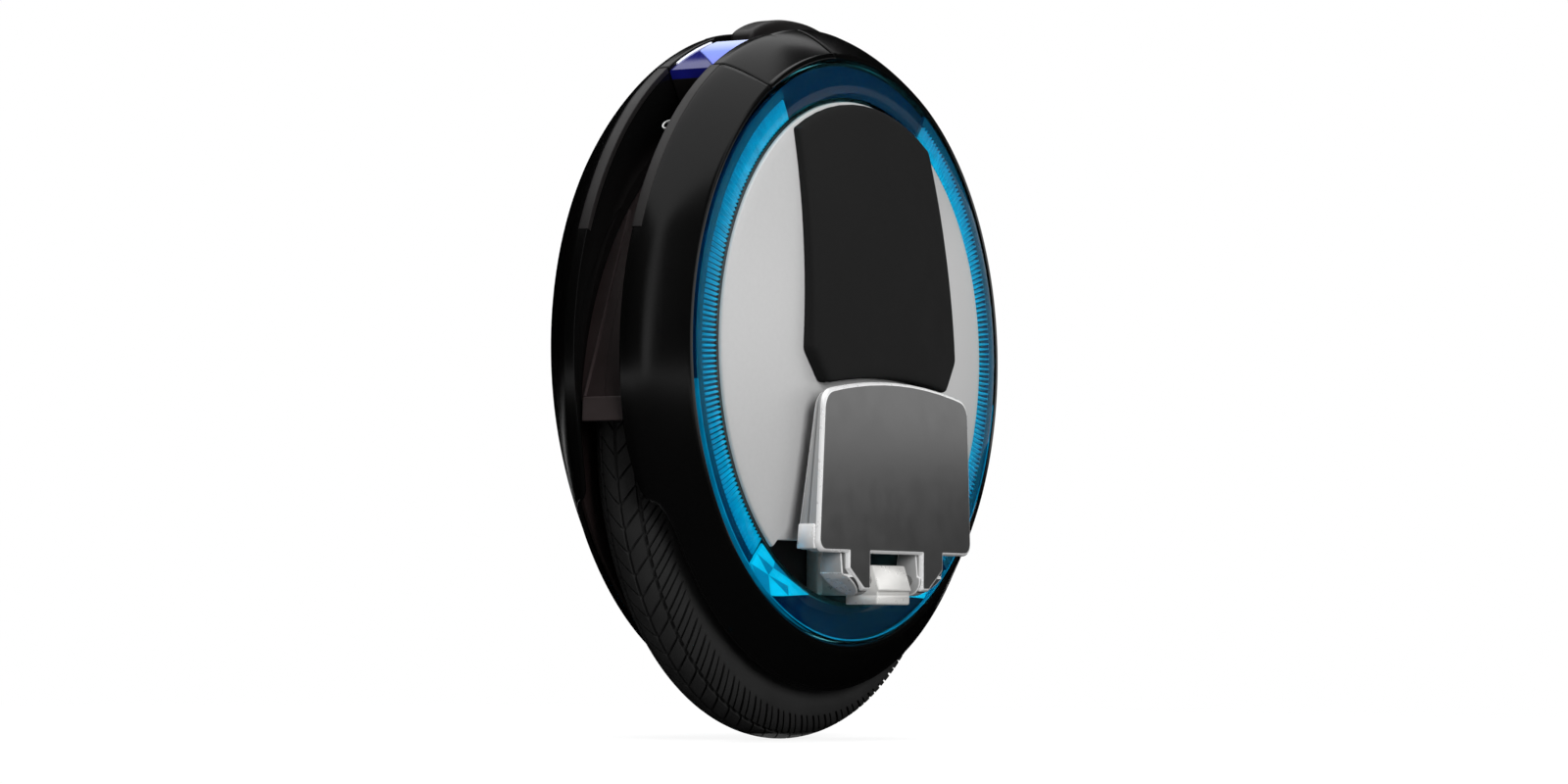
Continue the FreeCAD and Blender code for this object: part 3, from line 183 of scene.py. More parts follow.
# Machined steel of fasteners, axle and bearings: mid grey and shiny, with fine tool marks
machined_steel = finish("machined_steel", "#A8A8A6", "#B6B6B4", 0.3, grain_mm=0.5, grain_depth=0.01,
                        patch_mm=4, metallic=1.0, edge_mm=0.4)
# Bright chromed wire: a near mirror
chromed_wire = finish("chromed_wire", "#D8D8D8", "#E2E2E2", 0.12, patch_mm=3, spread=0.04, metallic=1.0)
# Yellow valve brass, slightly dulled
valve_brass = finish("valve_brass", "#B58E4A", "#A67F3F", 0.32, grain_mm=0.4, grain_depth=0.01, patch_mm=3,
                     metallic=1.0)
# Dark anodised alloy, cast and turned, of the rim and the motor covers: a satin charcoal metal
dark_anodised_alloy = finish("dark_anodised_alloy", "#3C3C3E", "#444446", 0.38, grain_mm=0.5,
                             grain_depth=0.015, patch_mm=15, metallic=0.9, edge_mm=0.6)
# Stacked iron sheets and glued magnets: dark and slightly rough
motor_iron = finish("motor_iron", "#3A3A3D", "#46464A", 0.45, grain_mm=0.6, grain_depth=0.03, patch_mm=5,
                    metallic=0.8)
# Enamelled copper wire: reddish brown, with the wire's own ripple
enamelled_copper = finish("enamelled_copper", "#8F4A24", "#A85A2C", 0.35, grain_mm=1.2, grain_depth=0.3,
                          patch_mm=6, metallic=0.9)
# Navy circuit board under the blue rings: dull, with the low relief of its tracks
navy_circuit_board = finish("navy_circuit_board", "#031C3A", "#042246", 0.6, grain_mm=1.5, grain_depth=0.05,
                            patch_mm=8, specular_ior_level=0.02)
# Blue shrink film of the battery and the capacitors: glossy, with soft wrinkles
blue_shrink_film = finish("blue_shrink_film", "#1B2F55", "#22396A", 0.3, grain_mm=2.0, grain_depth=0.05,
                          patch_mm=15)


# Clear and lit plastics


def uneven_level(tree, coords, cloud_mm, level, swing):
    """A level that drifts over the surface, up and down by a share of itself."""
    cloud = add_node(tree, "ShaderNodeTexNoise", {
        "Vector": coords, "Scale": per_mm(cloud_mm), "Detail": 2.0})
    drift = add_node(tree, "ShaderNodeMapRange", {
        "Value": cloud.outputs["Fac"], "From Min": NOISE_LOW, "From Max": NOISE_HIGH,
        "To Min": level * (1 - swing), "To Max": level * (1 + swing)})
    return drift.outputs["Result"]


def clear_plastic(name, tint, roughness):
    """Clear tinted plastic: it shows what lies behind it, darker and in its own colour."""
    made, tree = new_material(name)
    coords = add_node(tree, "ShaderNodeTexCoord").outputs["Object"]
    # The index is matched to a thin cover, which hardly bends what is seen through it
    surface = add_node(tree, "ShaderNodeBsdfPrincipled", {
        "Base Color": colour(tint), "Roughness": uneven_level(tree, coords, 30, roughness, 0.3),
        "Transmission Weight": 1.0, "IOR": 1.14, "Specular IOR Level": 0.15})
    add_node(tree, "ShaderNodeOutputMaterial", {"Surface": surface.outputs["BSDF"]})
    return made


def lit_plastic(name, base, glow, strength, roughness=0.25):
    """Moulded acrylic that carries light from LEDs behind it."""
    made, tree = new_material(name)
    coords = add_node(tree, "ShaderNodeTexCoord").outputs["Object"]
    surface = add_node(tree, "ShaderNodeBsdfPrincipled", {
        "Base Color": colour(base), "Roughness": roughness, "Emission Color": colour(glow),
        "Emission Strength": uneven_level(tree, coords, 14, strength, 0.3)})
    add_node(tree, "ShaderNodeOutputMaterial", {"Surface": surface.outputs["BSDF"]})
    return made


def lit_ribs(name, inner, outer, strength):
    """Lit acrylic of the ring's ribs: brightest along the inner edge, where the light enters."""
    made, tree = new_material(name)
    coords = add_node(tree, "ShaderNodeTexCoord").outputs["Object"]
    from_axle = add_node(tree, "ShaderNodeVectorMath", {0: coords, 1: (0.0, 0.0, RING_Z * MM)},
                         operation="SUBTRACT")
    across = add_node(tree, "ShaderNodeVectorMath", {0: from_axle.outputs[0], 1: (0.0, 1.0, 1.0)},
                      operation="MULTIPLY")
    away = add_node(tree, "ShaderNodeVectorMath", {0: across.outputs[0]}, operation="LENGTH").outputs["Value"]
    share = add_node(tree, "ShaderNodeMapRange", {
        "Value": away, "From Min": RING_INNER * MM, "From Max": RING_OUTER * MM}).outputs["Result"]
    tint = add_node(tree, "ShaderNodeMix", {0: share, 6: colour(inner), 7: colour(outer)}, data_type="RGBA")
    surface = add_node(tree, "ShaderNodeBsdfPrincipled", {
        "Base Color": tint.outputs[2], "Roughness": 0.25, "Specular IOR Level": 0.1,
        "Emission Color": tint.outputs[2], "Emission Strength": uneven_level(tree, coords, 6, strength, 0.4)})
    add_node(tree, "ShaderNodeOutputMaterial", {"Surface": surface.outputs["BSDF"]})
    return made


def headlight_glass(name, low_z, high_z):
    """The lit window of the headlight: lavender low down and nearly white at its top."""
    made, tree = new_material(name)
    coords = add_node(tree, "ShaderNodeTexCoord").outputs["Object"]
    height = add_node(tree, "ShaderNodeSeparateXYZ", {"Vector": coords}).outputs["Z"]
    rise = add_node(tree, "ShaderNodeMapRange", {
        "Value": height, "From Min": low_z * MM, "From Max": high_z * MM})
    ramp = add_node(tree, "ShaderNodeValToRGB", {"Fac": rise.outputs["Result"]})
    stops = ramp.color_ramp.elements
    stops[0].color = colour("#4A58BE")
    stops[1].color = colour("#CFDAFF")
    stops.new(0.55).color = colour("#7E90E2")
    surface = add_node(tree, "ShaderNodeBsdfPrincipled", {
        "Base Color": ramp.outputs["Color"], "Roughness": 0.2, "Emission Color": ramp.outputs["Color"],
        "Emission Strength": 0.3})
    add_node(tree, "ShaderNodeOutputMaterial", {"Surface": surface.outputs["BSDF"]})
    return made


# Tinted polycarbonate of the ring's lens: a smooth blue-green window
blue_polycarbonate = clear_plastic("blue_polycarbonate", "#6ED2DC", 0.04)
# Clear acrylic of the ribs, lit from inside: bright cyan that falls off to deep blue
rib_acrylic = lit_ribs("rib_acrylic", "#14C4E2", "#08548A", 0.45)
# The same acrylic between the ribs, where little light comes out
gap_acrylic = lit_plastic("gap_acrylic", "#043A58", "#04405C", 0.06)
# The same acrylic in the smooth band outside the ribs: dark blue
dark_acrylic = lit_plastic("dark_acrylic", "#043356", "#043A66", 0.12)
# The same acrylic where the LEDs shine in: bright cyan facets
bright_acrylic = lit_plastic("bright_acrylic", "#10C4E6", "#0CCEEE", 0.6)
# The same acrylic, less bright: painted shade on some facets of the bright block, and a painted highlight in
# the thin line along the ring's outer edge
shade_and_highlight_acrylic = lit_plastic("shade_and_highlight_acrylic", "#0A86AC", "#0A90B8", 0.4)
# Milky white acrylic of the headlight's rim
white_acrylic = lit_plastic("white_acrylic", "#E8ECF8", "#E8ECF8", 0.3)
# Deep blue acrylic of the headlight's body, faintly lit
deep_blue_acrylic = lit_plastic("deep_blue_acrylic", "#12145C", "#15186E", 0.25, 0.12)
# Red acrylic of the tail light, nearly unlit
red_acrylic = lit_plastic("red_acrylic", "#5A0606", "#A00808", 0.05, 0.12)
# Frosted glass of the headlight's window, lit from behind
lit_headlight = headlight_glass("headlight_glass", low_z=440, high_z=462)


# Meshes

SHARP_ANGLE = 35.0
BEVEL_ANGLE = 40.0
WELD_DISTANCE = 0.005


def placed(name, data):
    """An object in the scene that holds a mesh, a lamp or a camera."""
    made = bpy.data.objects.new(name, data)
    bpy.context.scene.collection.objects.link(made)
    return made


def dressed(name, mesh, materials, sharp=SHARP_ANGLE):
    """An object of a mesh with its materials, smooth where faces meet at less than the sharp angle."""
    mesh.shade_smooth()
    mesh.set_sharp_from_angle(angle=math.radians(sharp))
    for material in materials:
        mesh.materials.append(material)
    return placed(name, mesh)


def welded(mesh):
    """Merge a mesh's double points and turn its faces outwards."""
    whole = bmesh.new()
    whole.from_mesh(mesh)
    bmesh.ops.remove_doubles(whole, verts=whole.verts, dist=WELD_DISTANCE * MM)
    bmesh.ops.recalc_face_normals(whole, faces=whole.faces)
    whole.to_mesh(mesh)
    whole.free()
    return mesh


def new_piece(name, points, faces, *materials, sharp=SHARP_ANGLE):
    """A mesh piece from points in millimetres."""
    mesh = bpy.data.meshes.new(name)
    mesh.from_pydata([Vector(p) * MM for p in points], [], faces)
    return dressed(name, welded(mesh), materials, sharp)


def plain_mesh(piece):
    """The mesh that a piece has with its modifiers applied."""
    return bpy.data.meshes.new_from_object(piece.evaluated_get(bpy.context.evaluated_depsgraph_get()))


def evenly(first, last, steps):
    """Values at even steps, with both ends."""
    return [first + (last - first) * step / steps for step in range(steps + 1)]


def grid_faces(rows, columns, round_rows=False, round_columns=False):
    """Quads over a grid of points, closed into a ring either way where asked."""
    faces = []
    for i in range(rows if round_rows else rows - 1):
        here = i * columns
        beyond = (i + 1) % rows * columns
        for j in range(columns if round_columns else columns - 1):
            following = (j + 1) % columns
            faces.append((here + j, here + following, beyond + following, beyond + j))
    return faces


def tube_faces(rows, columns):
    """Faces over rows of points that each go round, with a cap at both ends."""
    last = (rows - 1) * columns
    caps = [tuple(range(columns)), tuple(range(last, last + columns))]
    return grid_faces(rows, columns, round_columns=True) + caps


def round_spot(x, radius, angle, centre):
    """A point at an angle round an axis along X, from the top towards the front."""
    turn = math.radians(angle)
    return (x, -radius * math.sin(turn), centre + radius * math.cos(turn))


def lathe(name, profile, centre, steps, *materials, sharp=SHARP_ANGLE):
    """Turn a closed outline of (x, radius) points all the way round."""
    points = [round_spot(x, r, angle, centre) for angle in evenly(0, 360, steps)[:-1] for x, r in profile]
    faces = grid_faces(steps, len(profile), round_rows=True, round_columns=True)
    return new_piece(name, points, faces, *materials, sharp=sharp)


def sector_solid(name, profile, centre, first, last, steps, *materials):
    """Turn a closed outline through part of a circle and close its ends."""
    points = [round_spot(x, r, angle, centre) for angle in evenly(first, last, steps) for x, r in profile]
    return new_piece(name, points, tube_faces(steps + 1, len(profile)), *materials)


def slab(name, edge, outer, inner, *materials):
    """A plate between two faces over one (y, z) outline; each face is a function of height."""
    points = [(face(z), y, z) for face in (outer, inner) for y, z in edge]
    return new_piece(name, points, tube_faces(2, len(edge)), *materials)


def prism(name, section, low, high, *materials):
    """A bar along Y over a closed (x, z) outline."""
    points = [(x, end, z) for end in (low, high) for x, z in section]
    return new_piece(name, points, tube_faces(2, len(section)), *materials)


def arc_points(x, r, radius, first, last, steps):
    """Points of a rounding in an outline."""
    turns = [math.radians(angle) for angle in evenly(first, last, steps)]
    return [(x + radius * math.cos(turn), r + radius * math.sin(turn)) for turn in turns]


def rectangle(x_low, x_high, low, high):
    """The four corners of a plain section."""
    return [(x_low, low), (x_high, low), (x_high, high), (x_low, high)]


def mirrored(piece, axis, name):
    """The mirror image of a piece across the middle, with its faces turned outwards again."""
    mesh = piece.data.copy()
    mesh.transform(Matrix.Scale(-1, 4, axis))
    mesh.flip_normals()
    return placed(name, mesh)


def right_copy(left):
    """The mirror image of a left piece, with the same modifiers."""
    piece = mirrored(left, (1, 0, 0), left.name.replace("left_", "right_"))
    for modifier in left.modifiers:
        other = piece.modifiers.new(modifier.name, modifier.type)
        for item in modifier.bl_rna.properties:
            if not item.is_readonly and item.identifier not in ("name", "type"):
                setattr(other, item.identifier, getattr(modifier, item.identifier))
    return piece


def settle(piece, body, slot, *nodes):
    """Let a piece ride on a body and stand for CAD nodes, which it hides; the slot is not used."""
    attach(piece, body)
    if nodes:
        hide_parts(*nodes)
    return piece


def settle_pair(left, slot, *nodes, body="chassis"):
    """Settle a left piece and its mirror image on the right."""
    settle(left, body, slot, *nodes)
    swapped = [node.replace("left_", "right_") for node in nodes]
    return settle(right_copy(left), body.replace("left_", "right_"), slot, *swapped)


def material_number(piece, material):
    """The place of a material in a piece's list."""
    return piece.data.materials.find(material.name)


def soften(piece, width, segments=3, edge_material=None):
    """Round a piece's sharp edges; the rounding may take another of its materials."""
    bevel = piece.modifiers.new("soft_edges", "BEVEL")
    bevel.width = width * MM
    bevel.segments = segments
    bevel.limit_method = "ANGLE"
    bevel.angle_limit = math.radians(BEVEL_ANGLE)
    bevel.harden_normals = True
    if edge_material:
        bevel.material = material_number(piece, edge_material)
    return piece


def add_wall(piece, thickness):
    """Give an open skin a wall on its inner side."""
    wall = piece.modifiers.new("wall", "SOLIDIFY")
    wall.thickness = thickness * MM
    wall.offset = -1.0
    return piece


def paint_faces(piece, material, chosen):
    """Give one of a piece's materials to the faces whose normal is chosen."""
    number = material_number(piece, material)
    for face in piece.data.polygons:
        if chosen(face.normal):
            face.material_index = number


def combined(name, *parts):
    """Join several pieces into one mesh; materials keep their order of first use."""
    materials = []
    whole = bmesh.new()
    for part in parts:
        numbers = []
        for material in part.data.materials:
            if material not in materials:
                materials.append(material)
            numbers.append(materials.index(material))
        count = len(whole.faces)
        whole.from_mesh(plain_mesh(part))
        whole.faces.ensure_lookup_table()
        for face in whole.faces[count:]:
            face.material_index = numbers[face.material_index]
        bpy.data.objects.remove(part)
    mesh = bpy.data.meshes.new(name)
    whole.to_mesh(mesh)
    whole.free()
    return dressed(name, mesh, materials)


# Repeats round an axle

COPY_INPUTS = {"Geometry": "NodeSocketGeometry", "Count": "NodeSocketInt", "First Turn": "NodeSocketFloat",
               "Turn Step": "NodeSocketFloat", "Axle Height": "NodeSocketFloat",
               "Material": "NodeSocketMaterial"}
COPY_WELD = 0.02


def copies_tree():
    """Copies of one form round an axis along X: ribs of the light rings, pitches of the tread."""
    tree = bpy.data.node_groups.new("copies_round_axle", "GeometryNodeTree")
    for name, kind in COPY_INPUTS.items():
        tree.interface.new_socket(name, in_out="INPUT", socket_type=kind)
    tree.interface.new_socket("Geometry", in_out="OUTPUT", socket_type="NodeSocketGeometry")
    given = add_node(tree, "NodeGroupInput")
    down = add_node(tree, "ShaderNodeMath", {0: given.outputs["Axle Height"], 1: -1.0}, operation="MULTIPLY")
    lowered = add_node(tree, "ShaderNodeCombineXYZ", {"Z": down.outputs[0]})
    raised = add_node(tree, "ShaderNodeCombineXYZ", {"Z": given.outputs["Axle Height"]})
    form = add_node(tree, "GeometryNodeTransform", {
        "Geometry": given.outputs["Geometry"], "Translation": lowered.outputs[0]})
    spots = add_node(tree, "GeometryNodeMeshLine", {
        "Count": given.outputs["Count"], "Start Location": raised.outputs[0], "Offset": (0.0, 0.0, 0.0)})
    index = add_node(tree, "GeometryNodeInputIndex")
    turned = add_node(tree, "ShaderNodeMath", {
        0: index.outputs[0], 1: given.outputs["Turn Step"], 2: given.outputs["First Turn"]},
        operation="MULTIPLY_ADD")
    turns = add_node(tree, "ShaderNodeCombineXYZ", {"X": turned.outputs[0]})
    copies = add_node(tree, "GeometryNodeInstanceOnPoints", {
        "Points": spots.outputs["Mesh"], "Instance": form.outputs["Geometry"], "Rotation": turns.outputs[0]})
    real = add_node(tree, "GeometryNodeRealizeInstances", {"Geometry": copies.outputs["Instances"]})
    merged = add_node(tree, "GeometryNodeMergeByDistance", {
        "Geometry": real.outputs["Geometry"], "Distance": COPY_WELD * MM})
    skinned = add_node(tree, "GeometryNodeSetMaterial", {
        "Geometry": merged.outputs["Geometry"], "Material": given.outputs["Material"]})
    add_node(tree, "NodeGroupOutput", {"Geometry": skinned.outputs["Geometry"]})
    return tree


copies_round_axle = copies_tree()


def repeated(form, count, first, step, centre, material, sharp):
    """Turn one form into a ring of copies; angles in degrees, from the top towards the front."""
    given = {"Count": count, "First Turn": math.radians(first), "Turn Step": math.radians(step),
             "Axle Height": centre * MM, "Material": material}
    maker = form.modifiers.new("copies", "NODES")
    maker.node_group = copies_round_axle
    for item in copies_round_axle.interface.items_tree:
        if item.in_out == "INPUT" and item.name in given:
            maker[item.identifier] = given[item.name]
    bpy.context.view_layer.update()
    mesh = plain_mesh(form)
    name = form.name
    bpy.data.objects.remove(form)
    mesh.name = name
    mesh.materials.clear()
    return dressed(name, welded(mesh), [material], sharp)


# Tyre: one pitch of the tread, repeated round the wheel

TYRE_SECTION = 27.0
TYRE_CENTRE = 176.0
TYRE_FOOT = 19.0
TYRE_SEAT = 152.8
TYRE_SHARP = 50.0
TREAD_PITCHES = 80
PITCH_ANGLE = 360 / TREAD_PITCHES
TREAD_SLANT = -2.1
GROOVE_DEPTH = 2.6
SIPE_DEPTH = 2.3
# Tilts off the crown: where the tread ends and fades, and the grooves that run round the tyre
TREAD_EDGE = 66.0
TREAD_FADE = 6.0
SHOULDER_TILT = 28.0
CENTRE_FADE = 8.0
SHOULDER_GROOVE = (25.5, 31.5)
CENTRE_SIPE = (-1.0, 2.6)
ROUND_WALL = 0.8
MOULD_LINE = (76.0, 84.5)
MOULD_LINE_HEIGHT = 0.35
# Shares of a pitch: the cuts that run across the tyre
SHOULDER_CUT = (0.02, 0.19)
SHOULDER_SIPE = (0.5, 0.62)
CENTRE_CUT = (0.26, 0.40)
CROSS_WALL = 0.012


def groove(place, start, end, depth, wall):
    """How deep a groove is at a place across it."""
    if place <= start or place >= end:
        return 0.0
    return depth * min((place - start) / wall, (end - place) / wall, 1.0)


def tread_depth(tilt, place):
    """Depth below the tyre's round section at a tilt off the crown and a place along the pitch."""
    side = abs(tilt)
    if side > TREAD_EDGE:
        return 0.0
    edge = min((TREAD_EDGE - side) / TREAD_FADE, 1.0)
    rounds = groove(side, *SHOULDER_GROOVE, GROOVE_DEPTH, ROUND_WALL)
    rounds += groove(side, *CENTRE_SIPE, SIPE_DEPTH, ROUND_WALL)
    if side >= SHOULDER_TILT:
        cross = groove(place, *SHOULDER_CUT, GROOVE_DEPTH, CROSS_WALL)
        cross += groove(place, *SHOULDER_SIPE, SIPE_DEPTH, CROSS_WALL)
    else:
        cross = groove(place, *CENTRE_CUT, GROOVE_DEPTH, CROSS_WALL) * min(side / CENTRE_FADE, 1.0)
    return max(rounds, cross) * edge


def tread_pitch():
    """One pitch of the tyre, with lines close together at the walls of the grooves."""
    tilts = [0, 2.2, 2.7, 6, 10, 14, 18, 22, 25.4, 26.4, 28, 30.6, 31.6, 36, 41, 46, 51, 56, 60, 63, 66, 68,
             72, 76, 84, 92, 100, 108, 116, 124, 130, 135.3]
    tilts = [-t for t in reversed(tilts[1:])] + tilts
    places = [0, 0.02, 0.032, 0.178, 0.19, 0.26, 0.272, 0.388, 0.40, 0.5, 0.512, 0.608, 0.62, 0.75, 0.88, 1]
    points = []
    for place in places:
        points.append(round_spot(-TYRE_FOOT, TYRE_SEAT, PITCH_ANGLE * place, AXLE_Z))
        for tilt in tilts:
            radius = TYRE_SECTION - tread_depth(tilt, place)
            if MOULD_LINE[0] < abs(tilt) < MOULD_LINE[1]:
                radius += MOULD_LINE_HEIGHT
            lean = math.radians(tilt)
            shift = TREAD_SLANT * min(abs(tilt), TREAD_EDGE) / TREAD_EDGE
            out = TYRE_CENTRE + radius * math.cos(lean)
            points.append(round_spot(radius * math.sin(lean), out, PITCH_ANGLE * (place + shift), AXLE_Z))
        points.append(round_spot(TYRE_FOOT, TYRE_SEAT, PITCH_ANGLE * place, AXLE_Z))
    faces = grid_faces(len(places), len(tilts) + 2, round_columns=True)
    return new_piece("tyre_tread", points, faces, tyre_rubber, sharp=TYRE_SHARP)


tyre = repeated(tread_pitch(), TREAD_PITCHES, 0, PITCH_ANGLE, AXLE_Z, tyre_rubber, TYRE_SHARP)
settle(tyre, "wheel", "tyre_rubber", "tyre")


# Shells: a lens-shaped skin from the slot to the mouth of the light ring

MOUTH_R = 196.6
SHOULDER_ROUNDNESS = 1.4
LIP_ROUNDING = 1.3
WELL_SIDE = 24.3
WELL_ANGLE = 16.1
WELL_LEVEL = 413.0
FRAME_SIDE = 34.05
OPENING_R = 211.0
OPENING_CORNER = 17.0
CROWN_R = 216.6
CAP_FROM = 7.5
CAP_TO = 32.5
CAP_SEAM = 0.12
CAP_SIDE = 52.3
SHELL_ROWS = 26
SHELL_STEP = 0.75
SHELL_SHARP = 30.0
SHELL_WALL = 2.0
SHELL_EDGE = RING_X - 1.8
EDGE_WALL = 3.0
LEAST_WALL = 1.0
WIDENS_FROM = 102.0
WIDENS_TO = 138.0
SEARCH_STEP = 0.05


def held(value):
    """A share kept between 0 and 1."""
    return min(max(value, 0.0), 1.0)


def shell_circle(x):
    """Radius and centre height of the shell's skin at a distance from the middle."""
    fall = held((x - LIP_END) / (RING_X - LIP_END)) ** SHOULDER_ROUNDNESS
    return SHELL_R + (MOUTH_R - SHELL_R) * fall, SHELL_Z + (RING_Z - SHELL_Z) * fall


def opening_radius(x):
    """The radius round the axle that the wheel's opening takes from the shell."""
    straight = FRAME_SIDE - OPENING_CORNER
    if x <= straight:
        return OPENING_R
    if x >= FRAME_SIDE:
        return 0.0
    return OPENING_R - OPENING_CORNER + math.sqrt(OPENING_CORNER ** 2 - (x - straight) ** 2)


def slot_edge(angle):
    """How far from the middle the slot's edge is: it widens softly beside the wheel."""
    from_top = 180 - abs((angle % 360) - 180)
    share = held((from_top - WIDENS_FROM) / (WIDENS_TO - WIDENS_FROM))
    return SLOT_SIDE + (FRAME_SIDE - SLOT_SIDE) * share ** 2 * (3 - 2 * share)


def shell_start(angle):
    """How far from the middle the skin starts at an angle, and how deep its edge wall goes."""
    upright = (angle + 180) % 360 - 180
    if abs(upright) < WELL_ANGLE:
        radius, centre = shell_circle(WELL_SIDE)
        return WELL_SIDE, radius - (WELL_LEVEL - centre) / math.cos(math.radians(upright))
    x = slot_edge(angle)
    while x < FRAME_SIDE:
        radius, centre = shell_circle(x)
        _, y, z = round_spot(x, radius, angle, centre)
        if math.hypot(y, z - AXLE_Z) >= opening_radius(x):
            break
        x += SEARCH_STEP
    if x > SLOT_SIDE:
        return min(x, FRAME_SIDE), EDGE_WALL
    turn = math.radians(angle)
    rise = SHELL_Z - AXLE_Z
    floor = -rise * math.cos(turn) + math.sqrt(CROWN_R ** 2 - (rise * math.sin(turn)) ** 2)
    return x, max(SHELL_R - floor, LEAST_WALL)


def shell_column(angle, side_from=None):
    """One line of points over the skin, from the foot of its edge wall to inside the mouth."""
    start, depth = shell_start(angle)
    if side_from is not None:
        start, depth = side_from, EDGE_WALL
    radius, centre = shell_circle(start)
    rounding = min(LIP_ROUNDING, depth / 2)
    column = []
    for share in (1.0, 0.6, 0.3):
        column.append(round_spot(start, radius - rounding - (depth - rounding) * share, angle, centre))
    for along, rise in arc_points(rounding, 0, rounding, 180, 90, 4):
        column.append(round_spot(start + along, radius - rounding + rise, angle, centre))
    for x in evenly(start + rounding, SHELL_EDGE, SHELL_ROWS)[1:]:
        radius, centre = shell_circle(x)
        column.append(round_spot(x, radius, angle, centre))
    # The skin turns in round the mouth and ends at the lens's seat
    mouth = ((SHELL_EDGE + 0.4, 0.8), (SHELL_EDGE + 0.3, -0.8), (SHELL_EDGE - 0.8, -2.0), (SEAT_X, -2.4))
    return column + [round_spot(x, MOUTH_R + rise, angle, RING_Z) for x, rise in mouth]


def shell_patch(angles, side_from=None):
    """Points and faces of the skin over a run of angles."""
    columns = [shell_column(angle, side_from) for angle in angles]
    return [p for column in columns for p in column], grid_faces(len(columns), len(columns[0]))


def spread_angles(first, last, step, *extra):
    """Angles at even steps, with extra ones where the outline turns sharply."""
    even = evenly(first, last, max(round((last - first) / step), 1))
    return sorted(set(even + [angle for angle in extra if first < angle < last]))


def make_shells():
    """The two shells and, as pieces of their own beside the headlight, the two top caps."""
    jump = 0.02
    well_front = (WELL_ANGLE - jump, WELL_ANGLE)
    well_rear = (360 - WELL_ANGLE, 360 - WELL_ANGLE + jump)
    points, faces = shell_patch(spread_angles(CAP_TO, 360 + CAP_FROM, SHELL_STEP, *well_rear))
    strip_points, strip_faces = shell_patch(spread_angles(CAP_FROM, CAP_TO, SHELL_STEP), CAP_SIDE)
    faces += [tuple(n + len(points) for n in face) for face in strip_faces]
    points += strip_points
    left_shell = new_piece("left_shell_skin", points, faces, piano_black_abs, sharp=SHELL_SHARP)
    settle_pair(add_wall(left_shell, SHELL_WALL), "shell_gloss", "left_shell")
    cap_angles = spread_angles(CAP_FROM + CAP_SEAM, CAP_TO - CAP_SEAM, SHELL_STEP, *well_front)
    left_cap = new_piece("left_top_cap_skin", *shell_patch(cap_angles), piano_black_abs, sharp=SHELL_SHARP)
    settle_pair(add_wall(left_cap, SHELL_WALL), "shell_gloss", "left_top_cap")


make_shells()


# Slot trim: a satin strip along the edge of the slot, from the headlight to a step half way down

TRIM_END = 70.0
TRIM_ROUNDING = 0.5
TRIM_HOOK = 3.0


def make_slot_trim():
    """One strip on each side of the slot, with a hook over its edge."""
    inner, hook, outer = SLOT_SIDE - 0.25, SLOT_SIDE + 0.6, LIP_END + 0.2
    low, high = SHELL_R - 0.4, SHELL_R + 0.35
    shoulder = high - TRIM_ROUNDING
    profile = [(inner, low - TRIM_HOOK)]
    profile += arc_points(inner + TRIM_ROUNDING, shoulder, TRIM_ROUNDING, 180, 90, 3)
    profile += arc_points(outer - TRIM_ROUNDING, shoulder, TRIM_ROUNDING, 90, 0, 3)
    profile += [(outer, low), (hook, low), (hook, low - TRIM_HOOK)]
    strip = sector_solid("left_slot_trim", profile, SHELL_Z, CAP_TO + 0.2, TRIM_END, 40, textured_black_abs)
    settle_pair(strip, "frame_plastic")


make_slot_trim()


# Light rings: a clear blue lens over lit ribs

LENS_CROWN = 2.8
LENS_ROUNDING = 0.9
LENS_UNDER = 53.8
LENS_OUTER_WALL = 1.2
LENS_INNER_WALL = 3.0
GUIDE_BACK = 50.1
RIB_STEP = 1.1
RIB_FROM = 30.0
RIB_TO = 138.5
RIB_INNER = 170.6
RIB_OUTER = 184.0
RIB_BASE = 51.0
RIB_PEAK = 53.4
RIB_SHARP = 20.0
BAND_TOP = 52.8
BAND_OUTER = 190.7
LINE_TOP = 53.6
LINE_INNER = 190.9
LINE_OUTER = 191.8
LINE_FROM = 98.0
BLOCK_LEVEL = 95.5
BLOCK_OUTER = 189.6
BLOCK_RIM = 51.8
BLOCK_CREST = 53.5
BLOCK_SHARP = 2.0


def light_ring_lens():
    """The clear lens: crowned outside and hollow behind, where the ribs lie."""
    half = (RING_OUTER - RING_INNER) / 2
    middle = (RING_OUTER + RING_INNER) / 2
    edge = LENS_ROUNDING
    profile = [(SEAT_X, RING_INNER)]
    profile += arc_points(RING_X - edge, RING_INNER + edge, edge, -90, 0, 4)
    for share in evenly(-1, 1, 14)[1:-1]:
        profile.append((RING_X + LENS_CROWN * (1 - share ** 2), middle + (half - edge) * share))
    profile += arc_points(RING_X - edge, RING_OUTER - edge, edge, 0, 90, 4)
    hollow = rectangle(SEAT_X, LENS_UNDER, RING_OUTER - LENS_OUTER_WALL, RING_INNER + LENS_INNER_WALL)
    profile += [(SEAT_X, RING_OUTER)] + hollow
    return lathe("left_ring_lens", profile, RING_Z, 240, blue_polycarbonate, sharp=30)


def light_rib():
    """One rib of the light guide: a low ridge that points to the ring's centre."""
    half = RIB_STEP * 0.27
    crest = RIB_STEP * 0.1
    section = ((RIB_BASE, -half), (RIB_PEAK, -crest), (RIB_PEAK, crest), (RIB_BASE, half))
    points = [round_spot(x, radius, turn, RING_Z) for radius in (RIB_INNER, RIB_OUTER) for x, turn in section]
    return new_piece("left_ring_ribs", points, tube_faces(2, 4), rib_acrylic, sharp=RIB_SHARP)


